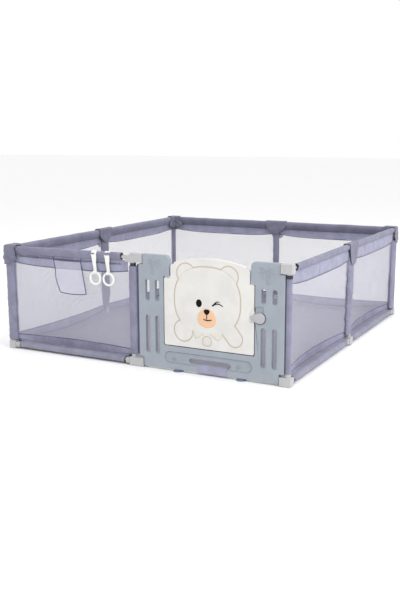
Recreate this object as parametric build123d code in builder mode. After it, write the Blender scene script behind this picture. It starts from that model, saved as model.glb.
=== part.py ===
from build123d import *
import os

# Rectangular playpen: a plugged steel tube frame dressed in fabric and mesh,
# with a moulded gate panel in the right half of its front side.
# X runs along the front, Y towards the back, Z up. The origin is on the floor, at the plan's centre.
# Millimetres.

# Frame: plan between post centres, heights of the tube axes
HALF_X = 907.0
HALF_Y = 1000.0
GATE_POST_X = -30.0
RAIL_Z = 620.0
BASE_Z = 26.0
TUBE_R = 11.0
TUBE_WALL = 1.2

# Clearances
FIT = 0.3
BORE_FIT = 0.05
SOCKET_FIT = 0.02

# Connectors
SOCKET_START = 18.0
ARM_REACH = 52.0
HIDDEN_HALF = 16.0
SHOWN_HALF = 22.0
BLOCK_HALF_Z = 26.0
NECK_R = 15.5
NECK_LENGTH = 16.0
PEG_R = 8.0
PEG_LENGTH = 20.0

# Fabric
SLEEVE_R = 16.0
SLEEVE_END = 68.0
BAND_BOTTOM = 538.0
BAND_THICK = 3.0
MESH_THICK = 1.6
MESH_START = 33.0
PIPING_Z = 85.0
PIPING_SAG = 56.0
SKIRT_Z = 44.0
SKIRT_SAG = 64.0
SKIRT_THICK = 2.4
FLOOR_THICK = 2.0
FLOOR_MARGIN = 24.0
POST_SLEEVE_R = 13.0
POST_SLEEVE_BOTTOM = 78.0
POST_SLEEVE_TOP = 535.0
FLANGE_REACH = 32.0
FLANGE_THICK = 3.0
COVER_HALF = 20.0
COVER_THICK = 3.2
COVER_TOP = 642.0
CORNER_COVER_REACH = 100.0
CORNER_COVER_BOTTOM = 524.0
MIDDLE_COVER_HALF = 77.5
MIDDLE_COVER_BOTTOM = 506.0
INNER_TAB_BOTTOM = 585.0

# Gate panel, seen from the front
PANEL_LEFT = 12.0
PANEL_RIGHT = 889.0
PANEL_TOP = 647.0
PANEL_BOTTOM = 10.0
PANEL_FRONT = -1014.0
PANEL_BACK = -986.0
PANEL_THICK = PANEL_BACK - PANEL_FRONT
NOTCH_WIDTH = 28.0
NOTCH_TOP = 590.0
NOTCH_BOTTOM = 63.0
NOTCH_GAP = 3.0
DOORWAY_LEFT = 171.0
DOORWAY_RIGHT = 721.0
DOORWAY_BOTTOM = 143.0
BLOCK_LEFT_END = 207.0
BLOCK_RIGHT_END = 697.0
BLOCK_UNDERSIDE = 531.0
COLUMN_SLOT_WIDTH = 28.0
RECESS_DEPTH = 7.0

# Door
DOOR_LEFT = 175.0
DOOR_RIGHT = 717.0
DOOR_BOTTOM = 147.0
DOOR_SHOULDER = 525.0
DOOR_NECK_LEFT = 216.0
DOOR_NECK_RIGHT = 691.0
DOOR_CORNER_Z = 606.0
DOOR_TOP = 645.0
DOOR_THICK = 22.0
DOOR_FRONT = -1012.5
DOOR_MIDDLE = DOOR_FRONT + DOOR_THICK / 2
HINGE_X = 191.0
PIN_R = 4.0
PIN_DEPTH = 18.0

# Latch
LATCH_X = 751.0
LATCH_Z = 351.0
KNOB_R = 28.0
TONGUE_R = 9.0
TONGUE_REACH = 49.0
KNOB_FRONT = -1020.0
SHAFT_R = 6.0
SWEEP_R = 62.0
KNOB_ROOM = 6.0

# Hanging pull rings
RING_X = (-284.0, -194.0)
RING_RADIUS = 32.0
RING_BAR_R = 5.5
RING_PIVOT_Z = 520.0
STRAP_GAP = 0.6
STRAP_THICK = 2.0
STRAP_TOP_WIDTH = 34.0
STRAP_END_WIDTH = 21.0
STRAP_LOOP_R = 8.2

os.makedirs("parts", exist_ok=True)

POSTS = {
    "front_left": (-HALF_X, -HALF_Y),
    "gate_side": (GATE_POST_X, -HALF_Y),
    "front_right": (HALF_X, -HALF_Y),
    "middle_right": (HALF_X, 0),
    "back_right": (HALF_X, HALF_Y),
    "middle_back": (0, HALF_Y),
    "back_left": (-HALF_X, HALF_Y),
    "middle_left": (-HALF_X, 0),
}

# Each side runs from post to post anticlockwise round the pen, so its left hand points inwards.
SIDES = {
    "front": ("front_left", "gate_side"),
    "right": ("front_right", "middle_right", "back_right"),
    "back": ("back_right", "middle_back", "back_left"),
    "left": ("back_left", "middle_left", "front_left"),
}


def save(piece, name):
    piece.part.label = name
    export_step(piece.part, f"parts/{name}.step")


def bays(side):
    """The pairs of posts that one side hangs between."""
    names = SIDES[side]
    return [(Vector(*POSTS[a]), Vector(*POSTS[b])) for a, b in zip(names, names[1:])]


def along(start, end):
    return (end - start).normalized()


def plan(start, end, height):
    """A level plane at a bay's first post: x along the bay, y inwards."""
    return Plane(origin=start + Vector(0, 0, height), x_dir=along(start, end), z_dir=(0, 0, 1))


def section(start, end, distance):
    """An upright plane across a bay: x inwards, y up, facing the bay's far end."""
    way = along(start, end)
    inward = Vector(0, 0, 1).cross(way)
    return Plane(origin=start + way * distance, x_dir=inward, z_dir=way)


def arms_of(name):
    """The directions in which rails leave a post."""
    found = []
    for side in SIDES:
        names = SIDES[side]
        for a, b in zip(names, names[1:]):
            way = along(Vector(*POSTS[a]), Vector(*POSTS[b]))
            if a == name:
                found.append(way)
            if b == name:
                found.append(-way)
    return found


# Steel tubes


def rails(name, side, height):
    with BuildPart() as rail:
        for start, end in bays(side):
            with BuildSketch(section(start, end, SOCKET_START + FIT)):
                with Locations((0, height)):
                    Circle(TUBE_R)
                    Circle(TUBE_R - TUBE_WALL, mode=Mode.SUBTRACT)
            extrude(amount=(end - start).length - 2 * (SOCKET_START + FIT))
    save(rail, name)


for side in SIDES:
    rails(f"top_rail_{side}", side, RAIL_Z)
    rails(f"bottom_rail_{side}", side, BASE_Z)

POST_FOOT = BASE_Z + TUBE_R + 1.0
POST_HEAD = RAIL_Z - TUBE_R - 1.0

for name, place in POSTS.items():
    with BuildPart() as post:
        with BuildSketch(Plane.XY.offset(POST_FOOT + FIT)):
            with Locations(place):
                Circle(TUBE_R)
                Circle(TUBE_R - TUBE_WALL, mode=Mode.SUBTRACT)
        extrude(amount=POST_HEAD - POST_FOOT - 2 * FIT)
    save(post, f"post_{name}")


# Moulded connectors


def connector(name, places, height, half, half_z, neck_way, gate_reach=0.0):
    """A socket block round a post's end, with an arm for each rail and a peg for the gate panel."""
    with BuildPart() as joint:
        for place in places:
            centre = Vector(*POSTS[place], height)
            with BuildSketch(Plane(origin=centre - Vector(0, 0, half_z))):
                RectangleRounded(2 * half, 2 * half, half / 4)
            extrude(amount=2 * half_z)
            with BuildSketch(Plane(origin=centre, z_dir=(0, 0, neck_way))):
                Circle(NECK_R)
            extrude(amount=half_z + NECK_LENGTH)
            for way in arms_of(place):
                with BuildSketch(Plane(origin=centre, x_dir=(0, 0, 1), z_dir=way)):
                    RectangleRounded(2 * HIDDEN_HALF, 2 * HIDDEN_HALF, HIDDEN_HALF / 4)
                extrude(amount=ARM_REACH)
            if gate_reach:
                way = Vector(gate_reach, 0, 0).normalized()
                with BuildSketch(Plane(origin=centre, x_dir=(0, 0, 1), z_dir=way)):
                    RectangleRounded(2 * half_z, 2 * half - 2, half / 4)
                extrude(amount=abs(gate_reach))
                with BuildSketch(Plane(origin=centre, x_dir=(0, 0, 1), z_dir=way)):
                    Circle(PEG_R)
                extrude(amount=abs(gate_reach) + NOTCH_GAP + PEG_LENGTH)
            for way in arms_of(place):
                with BuildSketch(Plane(origin=centre + way * SOCKET_START, z_dir=way)):
                    Circle(TUBE_R + SOCKET_FIT)
                extrude(amount=ARM_REACH, mode=Mode.SUBTRACT)
            mouth = centre + Vector(0, 0, neck_way * (TUBE_R + 1.0))
            with BuildSketch(Plane(origin=mouth, z_dir=(0, 0, neck_way))):
                Circle(TUBE_R + SOCKET_FIT)
            extrude(amount=half_z + NECK_LENGTH, mode=Mode.SUBTRACT)
    save(joint, name)


GATE_REACH = {
    "gate_side": PANEL_LEFT + NOTCH_WIDTH - NOTCH_GAP - GATE_POST_X,
    "front_right": PANEL_RIGHT - NOTCH_WIDTH + NOTCH_GAP - HALF_X,
}
CORNERS = ("front_left", "back_left", "back_right")
MIDDLES = ("middle_left", "middle_back", "middle_right")

for place in CORNERS:
    connector(f"top_elbow_{place}", [place], RAIL_Z, HIDDEN_HALF, HIDDEN_HALF, -1)
    connector(f"bottom_elbow_{place}", [place], BASE_Z, SHOWN_HALF, BASE_Z, 1)

for place, reach in GATE_REACH.items():
    connector(f"top_gate_tee_{place}", [place], RAIL_Z, SHOWN_HALF, BLOCK_HALF_Z, -1, reach)
    connector(f"bottom_gate_tee_{place}", [place], BASE_Z, SHOWN_HALF, BASE_Z, 1, reach)

connector("top_middle_tees", MIDDLES, RAIL_Z, HIDDEN_HALF, HIDDEN_HALF, -1)
connector("bottom_middle_tees", MIDDLES, BASE_Z, SHOWN_HALF, BASE_Z, 1)


# Fabric and mesh


def sagging_strip(length, sag, thick):
    """A strip that bows inwards between the two posts of a bay."""
    first = MESH_START
    last = length - MESH_START
    middle = length / 2
    with BuildSketch() as strip:
        with BuildLine():
            outer = ThreePointArc((first, -thick / 2), (middle, sag - thick / 2), (last, -thick / 2))
            inner = ThreePointArc((first, thick / 2), (middle, sag + thick / 2), (last, thick / 2))
            Line(outer @ 0, inner @ 0)
            Line(outer @ 1, inner @ 1)
        make_face()
    return strip.sketch


for side in SIDES:
    with BuildPart() as top_sleeve:
        for start, end in bays(side):
            with BuildSketch(section(start, end, SLEEVE_END)):
                with Locations((0, RAIL_Z)):
                    Circle(SLEEVE_R)
                band_height = RAIL_Z - BAND_BOTTOM
                with Locations((0, BAND_BOTTOM + band_height / 2)):
                    Rectangle(BAND_THICK, band_height)
                with Locations((0, RAIL_Z)):
                    Circle(TUBE_R + FIT, mode=Mode.SUBTRACT)
            extrude(amount=(end - start).length - 2 * SLEEVE_END)
    save(top_sleeve, f"top_sleeve_{side}")

    with BuildPart() as mesh_wall:
        for start, end in bays(side):
            length = (end - start).length
            with BuildSketch(plan(start, end, PIPING_Z + FIT)):
                add(sagging_strip(length, PIPING_SAG, MESH_THICK))
            with BuildSketch(plan(start, end, BAND_BOTTOM - FIT)):
                with Locations((length / 2, 0)):
                    Rectangle(length - 2 * MESH_START, MESH_THICK)
            loft(ruled=True)
    save(mesh_wall, f"mesh_wall_{side}")

    with BuildPart() as skirt:
        for start, end in bays(side):
            length = (end - start).length
            with BuildSketch(plan(start, end, SKIRT_Z)):
                add(sagging_strip(length, SKIRT_SAG, SKIRT_THICK))
            with BuildSketch(plan(start, end, PIPING_Z)):
                add(sagging_strip(length, PIPING_SAG, SKIRT_THICK))
            loft(ruled=True)
            with BuildSketch(plan(start, end, SKIRT_Z - SKIRT_THICK)):
                with BuildLine():
                    edge = SKIRT_THICK / 2
                    bow = ThreePointArc(
                        (MESH_START, edge),
                        (length / 2, SKIRT_SAG + edge),
                        (length - MESH_START, edge),
                    )
                    Polyline(
                        bow @ 0,
                        (MESH_START, -edge),
                        (length - MESH_START, -edge),
                        bow @ 1,
                    )
                make_face()
                with Locations((length / 2, SKIRT_SAG / 2)):
                    Rectangle(length - 2 * SLEEVE_END, 2 * SKIRT_SAG, mode=Mode.INTERSECT)
            extrude(amount=SKIRT_THICK)
            with BuildSketch(section(start, end, SLEEVE_END)):
                with Locations((0, BASE_Z)):
                    Circle(SLEEVE_R)
                    Circle(TUBE_R + FIT, mode=Mode.SUBTRACT)
            extrude(amount=length - 2 * SLEEVE_END)
    save(skirt, f"skirt_{side}")


with BuildPart() as post_sleeves:
    for name, place in POSTS.items():
        with BuildSketch(Plane.XY.offset(POST_SLEEVE_BOTTOM)):
            with Locations(place):
                Circle(POST_SLEEVE_R)
            for way in arms_of(name):
                middle = Vector(*place) + way * (FLANGE_REACH / 2)
                across = Vector(0, 0, 1).cross(way)
                with Locations((middle.X, middle.Y)):
                    Rectangle(
                        abs(way.X) * FLANGE_REACH + abs(across.X) * FLANGE_THICK,
                        abs(way.Y) * FLANGE_REACH + abs(across.Y) * FLANGE_THICK,
                    )
            with Locations(place):
                Circle(TUBE_R + FIT, mode=Mode.SUBTRACT)
        extrude(amount=POST_SLEEVE_TOP - POST_SLEEVE_BOTTOM)
save(post_sleeves, "post_sleeves")

INNER_HALF = COVER_HALF - COVER_THICK

with BuildPart() as corner_covers:
    for half, base, top, mode in (
        (COVER_HALF, CORNER_COVER_BOTTOM, COVER_TOP, Mode.ADD),
        (INNER_HALF, CORNER_COVER_BOTTOM, COVER_TOP - COVER_THICK, Mode.SUBTRACT),
    ):
        for place in CORNERS:
            ways = arms_of(place)
            first = ways[0] if (Vector(0, 0, 1).cross(ways[0]) - ways[1]).length < 0.1 else ways[1]
            corner = Vector(*POSTS[place])
            reach = CORNER_COVER_REACH + half
            with BuildSketch(plan(corner, corner + first, base)):
                with Locations((reach / 2 - half, 0)):
                    Rectangle(reach, 2 * half)
                with Locations((0, reach / 2 - half)):
                    Rectangle(2 * half, reach)
            extrude(amount=top - base, mode=mode)
save(corner_covers, "corner_covers")

with BuildPart() as middle_covers:
    for place in MIDDLES:
        way = arms_of(place)[1]
        inward = Vector(0, 0, 1).cross(way)
        post_line = Vector(*POSTS[place])
        with BuildSketch(Plane(origin=post_line - inward * COVER_HALF, x_dir=way, z_dir=inward)):
            foot = MIDDLE_COVER_HALF * 0.6
            with BuildLine():
                Polyline(
                    (-MIDDLE_COVER_HALF, -COVER_TOP),
                    (MIDDLE_COVER_HALF, -COVER_TOP),
                    (MIDDLE_COVER_HALF, -RAIL_Z),
                    (foot, -MIDDLE_COVER_BOTTOM),
                    (-foot, -MIDDLE_COVER_BOTTOM),
                    (-MIDDLE_COVER_HALF, -RAIL_Z),
                    close=True,
                )
            make_face()
        extrude(amount=COVER_HALF)
        with BuildSketch(section(post_line, post_line + way, -MIDDLE_COVER_HALF)):
            with Locations((COVER_HALF / 2, (COVER_TOP + INNER_TAB_BOTTOM) / 2)):
                Rectangle(COVER_HALF, COVER_TOP - INNER_TAB_BOTTOM)
        extrude(amount=2 * MIDDLE_COVER_HALF)
        with BuildSketch(section(post_line, post_line + way, -MIDDLE_COVER_HALF)):
            with Locations((0, (COVER_TOP - COVER_THICK + MIDDLE_COVER_BOTTOM) / 2)):
                Rectangle(2 * INNER_HALF, COVER_TOP - COVER_THICK - MIDDLE_COVER_BOTTOM)
        extrude(amount=2 * MIDDLE_COVER_HALF, mode=Mode.SUBTRACT)
save(middle_covers, "middle_covers")

with BuildPart() as floor_sheet:
    with BuildSketch():
        Rectangle(2 * (HALF_X - FLOOR_MARGIN), 2 * (HALF_Y - FLOOR_MARGIN))
    extrude(amount=FLOOR_THICK)
save(floor_sheet, "floor_sheet")


# Front-left bay: pocket, zip and pull rings

POCKET_TOP = 571.0
POCKET_BOTTOM = 382.0
POCKET_TOP_LEFT = -577.0
POCKET_TOP_RIGHT = -384.0
POCKET_FOOT_LEFT = -539.0
POCKET_FOOT_RIGHT = -351.0
POCKET_HEM = 3.0
POCKET_SHEET = 2.0
POCKET_GAP = 6.5
POCKET_BACK_Y = -1003.0


def pocket_outline(hem, overrun):
    """The pocket's four-sided outline, pulled in by the hem and run past its mouth."""
    with BuildSketch() as outline:
        with BuildLine():
            Polyline(
                (POCKET_TOP_LEFT + hem, POCKET_TOP + overrun),
                (POCKET_TOP_RIGHT - hem, POCKET_TOP + overrun),
                (POCKET_FOOT_RIGHT - hem, POCKET_BOTTOM + hem),
                (POCKET_FOOT_LEFT + hem, POCKET_BOTTOM + hem),
                close=True,
            )
        make_face()
    return outline.sketch


with BuildPart() as pocket:
    with BuildSketch(Plane.XZ.offset(-POCKET_BACK_Y)):
        add(pocket_outline(0, 0))
    extrude(amount=POCKET_GAP + 2 * POCKET_SHEET)
    with BuildSketch(Plane.XZ.offset(-POCKET_BACK_Y + POCKET_SHEET)):
        add(pocket_outline(POCKET_HEM, 1.0))
    extrude(amount=POCKET_GAP, mode=Mode.SUBTRACT)
save(pocket, "mesh_pocket")

ZIP_Z = 577.0
ZIP_LEFT = -835.0
ZIP_RIGHT = -106.0
ZIP_TAPE_HEIGHT = 6.0
ZIP_TAPE_THICK = 0.8
ZIP_TAPE_Y = -1001.8
SLIDER_X = -697.0
SLIDER_LENGTH = 14.0
SLIDER_HEIGHT = 9.0
SLIDER_THICK = 3.0
TAB_LENGTH = 38.0
TAB_HEIGHT = 6.0
TAB_THICK = 1.5

with BuildPart() as zip_tape:
    with BuildSketch(Plane.XZ.offset(-ZIP_TAPE_Y)):
        with Locations(((ZIP_LEFT + ZIP_RIGHT) / 2, ZIP_Z)):
            Rectangle(ZIP_RIGHT - ZIP_LEFT, ZIP_TAPE_HEIGHT)
    extrude(amount=ZIP_TAPE_THICK)
save(zip_tape, "zip_tape")

SLIDER_BACK_Y = ZIP_TAPE_Y - ZIP_TAPE_THICK - FIT

with BuildPart() as zip_slider:
    with BuildSketch(Plane.XZ.offset(-SLIDER_BACK_Y)):
        with Locations((SLIDER_X, ZIP_Z)):
            RectangleRounded(SLIDER_LENGTH, SLIDER_HEIGHT, SLIDER_HEIGHT / 3)
    extrude(amount=SLIDER_THICK)
    with BuildSketch(Plane.XZ.offset(-SLIDER_BACK_Y + SLIDER_THICK - TAB_THICK)):
        with Locations((SLIDER_X - TAB_LENGTH / 2, ZIP_Z)):
            SlotOverall(TAB_LENGTH, TAB_HEIGHT)
    extrude(amount=TAB_THICK)
save(zip_slider, "zip_slider")

HOOK_IN = SLEEVE_R + STRAP_GAP
HOOK_OUT = HOOK_IN + STRAP_THICK
LEG_Y = -HALF_Y - (HOOK_IN + HOOK_OUT) / 2
LOOP_OUT = STRAP_LOOP_R + STRAP_THICK
HOOK_TAIL = 10.0
STRAP_TAPER_Z = 552.0

for hand, ring_x in zip(("left", "right"), RING_X):
    with BuildPart() as strap:
        with BuildSketch(Plane.YZ.offset(ring_x - STRAP_TOP_WIDTH / 2)):
            with Locations((-HALF_Y, RAIL_Z)):
                Circle(HOOK_OUT)
                Circle(HOOK_IN, mode=Mode.SUBTRACT)
                with Locations((0, -HOOK_OUT / 2)):
                    Rectangle(2 * HOOK_OUT, HOOK_OUT, mode=Mode.SUBTRACT)
                with Locations((HOOK_OUT / 2, HOOK_TAIL / 2)):
                    Rectangle(HOOK_OUT, HOOK_TAIL, mode=Mode.SUBTRACT)
            leg_foot = RING_PIVOT_Z + LOOP_OUT - STRAP_THICK / 2
            with Locations((LEG_Y, (RAIL_Z + leg_foot) / 2)):
                Rectangle(STRAP_THICK, RAIL_Z - leg_foot)
            with Locations((LEG_Y, RING_PIVOT_Z)):
                Circle(LOOP_OUT)
                Circle(STRAP_LOOP_R, mode=Mode.SUBTRACT)
        extrude(amount=STRAP_TOP_WIDTH)
        with BuildSketch(Plane.XZ.offset(HALF_Y - HOOK_OUT)):
            with BuildLine():
                Polyline(
                    (ring_x - STRAP_TOP_WIDTH / 2, RAIL_Z + HOOK_OUT),
                    (ring_x + STRAP_TOP_WIDTH / 2, RAIL_Z + HOOK_OUT),
                    (ring_x + STRAP_TOP_WIDTH / 2, RAIL_Z - SLEEVE_R),
                    (ring_x + STRAP_END_WIDTH / 2, STRAP_TAPER_Z),
                    (ring_x + STRAP_END_WIDTH / 2, RING_PIVOT_Z - LOOP_OUT),
                    (ring_x - STRAP_END_WIDTH / 2, RING_PIVOT_Z - LOOP_OUT),
                    (ring_x - STRAP_END_WIDTH / 2, STRAP_TAPER_Z),
                    (ring_x - STRAP_TOP_WIDTH / 2, RAIL_Z - SLEEVE_R),
                    close=True,
                )
            make_face()
        extrude(amount=2 * HOOK_OUT + LOOP_OUT, mode=Mode.INTERSECT)
    save(strap, f"pull_strap_{hand}")

    with BuildPart() as ring:
        with BuildSketch(Plane(origin=(ring_x, LEG_Y, RING_PIVOT_Z), z_dir=(1, 0, 0))):
            Circle(RING_BAR_R)
        centre_z = RING_PIVOT_Z - RING_RADIUS
        revolve(axis=Axis((ring_x, LEG_Y, centre_z), (0, 1, 0)))
    save(ring, f"pull_ring_{hand}")


# Gate panel

LATCH_PLACE = (LATCH_X, LATCH_Z)
SWEEP_MARGIN = 20.0
SLOT_ROWS = (
    (68.0, 386.0, 505.0),
    (130.0, 386.0, 505.0),
    (68.0, 88.0, 304.0),
    (130.0, 88.0, 304.0),
    (769.0, 428.0, 507.0),
    (832.0, 428.0, 507.0),
    (769.0, 84.0, 300.0),
    (832.0, 84.0, 300.0),
)
RECESS_CENTRE = (441.5, 78.5)
RECESS_LENGTH = 527.0
RECESS_HEIGHT = 63.0
RAIL_RECESS_DEPTH = 4.0
HAND_SLOT_LEFT = 327.0
HAND_SLOT_RIGHT = 580.0
HAND_SLOT_Z = 68.0
HAND_SLOT_HEIGHT = 34.0
CUP_X = (255.0, 640.0)
CUP_R = 22.0
CUP_STUD_R = 5.0
CUP_STUD_TOP = 26.0


def latch_sweep():
    """The space that the latch turns in: round the knob, and a quarter turn of its tongue."""
    side = SWEEP_R + SWEEP_MARGIN
    offset = SWEEP_R - SWEEP_MARGIN
    with BuildSketch() as sweep_space:
        with Locations(LATCH_PLACE):
            Circle(SWEEP_R)
            with Locations((-offset / 2, offset / 2)):
                Rectangle(side, side, mode=Mode.INTERSECT)
            Circle(KNOB_R + KNOB_ROOM)
    return sweep_space.sketch


with BuildPart() as gate_frame:
    with BuildSketch(Plane.XZ.offset(-PANEL_BACK)):
        with BuildLine():
            Polyline(
                (PANEL_LEFT + NOTCH_WIDTH, PANEL_BOTTOM),
                (PANEL_RIGHT - NOTCH_WIDTH, PANEL_BOTTOM),
                (PANEL_RIGHT - NOTCH_WIDTH, NOTCH_BOTTOM),
                (PANEL_RIGHT, NOTCH_BOTTOM),
                (PANEL_RIGHT, NOTCH_TOP),
                (PANEL_RIGHT - NOTCH_WIDTH, NOTCH_TOP),
                (PANEL_RIGHT - NOTCH_WIDTH, PANEL_TOP),
                (BLOCK_RIGHT_END, PANEL_TOP),
                (BLOCK_RIGHT_END, BLOCK_UNDERSIDE),
                (DOORWAY_RIGHT, BLOCK_UNDERSIDE),
                (DOORWAY_RIGHT, DOORWAY_BOTTOM),
                (DOORWAY_LEFT, DOORWAY_BOTTOM),
                (DOORWAY_LEFT, BLOCK_UNDERSIDE),
                (BLOCK_LEFT_END, BLOCK_UNDERSIDE),
                (BLOCK_LEFT_END, PANEL_TOP),
                (PANEL_LEFT + NOTCH_WIDTH, PANEL_TOP),
                (PANEL_LEFT + NOTCH_WIDTH, NOTCH_TOP),
                (PANEL_LEFT, NOTCH_TOP),
                (PANEL_LEFT, NOTCH_BOTTOM),
                (PANEL_LEFT + NOTCH_WIDTH, NOTCH_BOTTOM),
                close=True,
            )
        make_face()
        crests = vertices().group_by(Axis.Y)[-1].sort_by(Axis.X)
        fillet(crests[1:3], radius=26.0)
        doorway_feet = [
            corner for corner in vertices()
            if abs(corner.Z - DOORWAY_BOTTOM) < 1 or abs(corner.Y - DOORWAY_BOTTOM) < 1
        ]
        fillet(doorway_feet, radius=10.0)
        for slot_x, slot_foot, slot_head in SLOT_ROWS:
            with Locations((slot_x, (slot_foot + slot_head) / 2)):
                SlotOverall(
                    slot_head - slot_foot, COLUMN_SLOT_WIDTH, rotation=90, mode=Mode.SUBTRACT
                )
        with Locations(((HAND_SLOT_LEFT + HAND_SLOT_RIGHT) / 2, HAND_SLOT_Z)):
            SlotOverall(HAND_SLOT_RIGHT - HAND_SLOT_LEFT, HAND_SLOT_HEIGHT, mode=Mode.SUBTRACT)
        with Locations(LATCH_PLACE):
            Circle(SHAFT_R + BORE_FIT, mode=Mode.SUBTRACT)
    extrude(amount=PANEL_THICK)
    with BuildSketch(Plane.XZ.offset(-PANEL_FRONT - RAIL_RECESS_DEPTH)):
        with Locations(RECESS_CENTRE):
            SlotOverall(RECESS_LENGTH, RECESS_HEIGHT)
    extrude(amount=RAIL_RECESS_DEPTH, mode=Mode.SUBTRACT)
    with BuildSketch(Plane.XZ.offset(-PANEL_FRONT - RECESS_DEPTH)):
        add(latch_sweep())
    extrude(amount=RECESS_DEPTH, mode=Mode.SUBTRACT)
    with BuildSketch(Plane.XY.offset(BLOCK_UNDERSIDE)):
        with Locations((HINGE_X, DOOR_MIDDLE)):
            Circle(PIN_R + SOCKET_FIT)
    extrude(amount=PIN_DEPTH, mode=Mode.SUBTRACT)
    with BuildSketch(Plane.XY.offset(DOORWAY_BOTTOM - PIN_DEPTH)):
        with Locations((HINGE_X, DOOR_MIDDLE)):
            Circle(PIN_R + SOCKET_FIT)
    extrude(amount=PIN_DEPTH, mode=Mode.SUBTRACT)
    with BuildSketch(Plane.XY.offset(PANEL_BOTTOM)):
        with Locations(*[(cup_x, -HALF_Y) for cup_x in CUP_X]):
            Circle(CUP_STUD_R + SOCKET_FIT)
    extrude(amount=CUP_STUD_TOP - PANEL_BOTTOM + FIT, mode=Mode.SUBTRACT)
    for rail_z in (RAIL_Z, BASE_Z):
        for wall_x, way in (
            (PANEL_LEFT + NOTCH_WIDTH, 1),
            (PANEL_RIGHT - NOTCH_WIDTH, -1),
        ):
            with BuildSketch(Plane(origin=(wall_x, -HALF_Y, rail_z), z_dir=(way, 0, 0))):
                Circle(PEG_R + SOCKET_FIT)
            extrude(amount=PEG_LENGTH + FIT, mode=Mode.SUBTRACT)
save(gate_frame, "gate_frame")


# Door: flat panel with an arched top and a raised animal face

FACE_CENTRE = (441.0, 400.0)
FACE_WIDTH = 384.0
FACE_HEIGHT = 270.0
EAR_R = 62.0
EAR_SPREAD = 150.0
EAR_RISE = 150.0
PAW_R = 56.0
PAW_SPREAD = 150.0
PAW_DROP = 166.0
FACE_RELIEF = 1.5

with BuildPart() as gate_door:
    with BuildSketch(Plane.XZ.offset(-DOOR_FRONT - DOOR_THICK)):
        with BuildLine():
            crown_middle = (DOOR_NECK_LEFT + DOOR_NECK_RIGHT) / 2
            ThreePointArc(
                (DOOR_NECK_LEFT, DOOR_CORNER_Z),
                (crown_middle, DOOR_TOP),
                (DOOR_NECK_RIGHT, DOOR_CORNER_Z),
            )
            Polyline(
                (DOOR_NECK_RIGHT, DOOR_CORNER_Z),
                (DOOR_NECK_RIGHT, DOOR_SHOULDER),
                (DOOR_RIGHT, DOOR_SHOULDER),
                (DOOR_RIGHT, DOOR_BOTTOM),
                (DOOR_LEFT, DOOR_BOTTOM),
                (DOOR_LEFT, DOOR_SHOULDER),
                (DOOR_NECK_LEFT, DOOR_SHOULDER),
                (DOOR_NECK_LEFT, DOOR_CORNER_Z),
            )
        make_face()
        fillet(vertices().group_by(Axis.Y)[-1], radius=30.0)
        fillet(vertices().group_by(Axis.Y)[0], radius=12.0)
    extrude(amount=DOOR_THICK)
    fillet(edges().filter_by(Axis.Z).sort_by(Axis.X)[:2], radius=5.0)
    with BuildSketch(Plane.XZ.offset(-DOOR_FRONT)):
        with Locations(FACE_CENTRE):
            Ellipse(FACE_WIDTH / 2, FACE_HEIGHT / 2)
            with Locations((-EAR_SPREAD, EAR_RISE), (EAR_SPREAD, EAR_RISE)):
                Circle(EAR_R)
            with Locations((-PAW_SPREAD, -PAW_DROP), (PAW_SPREAD, -PAW_DROP)):
                Circle(PAW_R)
    extrude(amount=FACE_RELIEF)
    with BuildSketch(Plane.XZ.offset(-DOOR_FRONT - RECESS_DEPTH)):
        add(latch_sweep())
    extrude(amount=RECESS_DEPTH + FACE_RELIEF, mode=Mode.SUBTRACT)
    with BuildSketch(Plane.XY.offset(DOOR_SHOULDER - PIN_DEPTH)):
        with Locations((HINGE_X, DOOR_MIDDLE)):
            Circle(PIN_R + BORE_FIT)
    extrude(amount=PIN_DEPTH, mode=Mode.SUBTRACT)
    with BuildSketch(Plane.XY.offset(DOOR_BOTTOM)):
        with Locations((HINGE_X, DOOR_MIDDLE)):
            Circle(PIN_R + BORE_FIT)
    extrude(amount=PIN_DEPTH, mode=Mode.SUBTRACT)
save(gate_door, "gate_door")

for name, foot, head in (
    ("hinge_pin_upper", DOOR_SHOULDER - PIN_DEPTH, BLOCK_UNDERSIDE + PIN_DEPTH),
    ("hinge_pin_lower", DOORWAY_BOTTOM - PIN_DEPTH, DOOR_BOTTOM + PIN_DEPTH),
):
    with BuildPart() as hinge_pin:
        with BuildSketch(Plane.XY.offset(foot + FIT)):
            with Locations((HINGE_X, DOOR_MIDDLE)):
                Circle(PIN_R)
        extrude(amount=head - foot - 2 * FIT)
    save(hinge_pin, name)


# Latch: a knob with a tongue in front, on a shaft through the panel with a cap behind

KNOB_BACK = PANEL_FRONT + RECESS_DEPTH - FIT
SHAFT_FRONT = KNOB_BACK - 6.0
CAP_R = 14.0
CAP_THICK = 6.0

with BuildPart() as latch_knob:
    with BuildSketch(Plane.XZ.offset(-KNOB_BACK)):
        with Locations(LATCH_PLACE):
            Circle(KNOB_R)
            with Locations((-TONGUE_REACH, 0)):
                Circle(TONGUE_R)
        make_hull()
    extrude(amount=KNOB_BACK - KNOB_FRONT)
    fillet(faces().sort_by(Axis.Y)[0].edges(), radius=3.0)
    with BuildSketch(Plane.XZ.offset(-KNOB_BACK)):
        with Locations(LATCH_PLACE):
            Circle(SHAFT_R + SOCKET_FIT)
    extrude(amount=KNOB_BACK - SHAFT_FRONT + FIT, mode=Mode.SUBTRACT)
save(latch_knob, "latch_knob")

with BuildPart() as latch_shaft:
    with BuildSketch(Plane.XZ.offset(-PANEL_BACK - FIT)):
        with Locations(LATCH_PLACE):
            Circle(SHAFT_R)
    extrude(amount=PANEL_BACK - SHAFT_FRONT)
    with BuildSketch(Plane.XZ.offset(-PANEL_BACK - FIT - CAP_THICK)):
        with Locations(LATCH_PLACE):
            Circle(CAP_R)
    extrude(amount=CAP_THICK)
save(latch_shaft, "latch_shaft")


# Suction feet and the strap that ties the floor to the gate's lower rail

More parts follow.
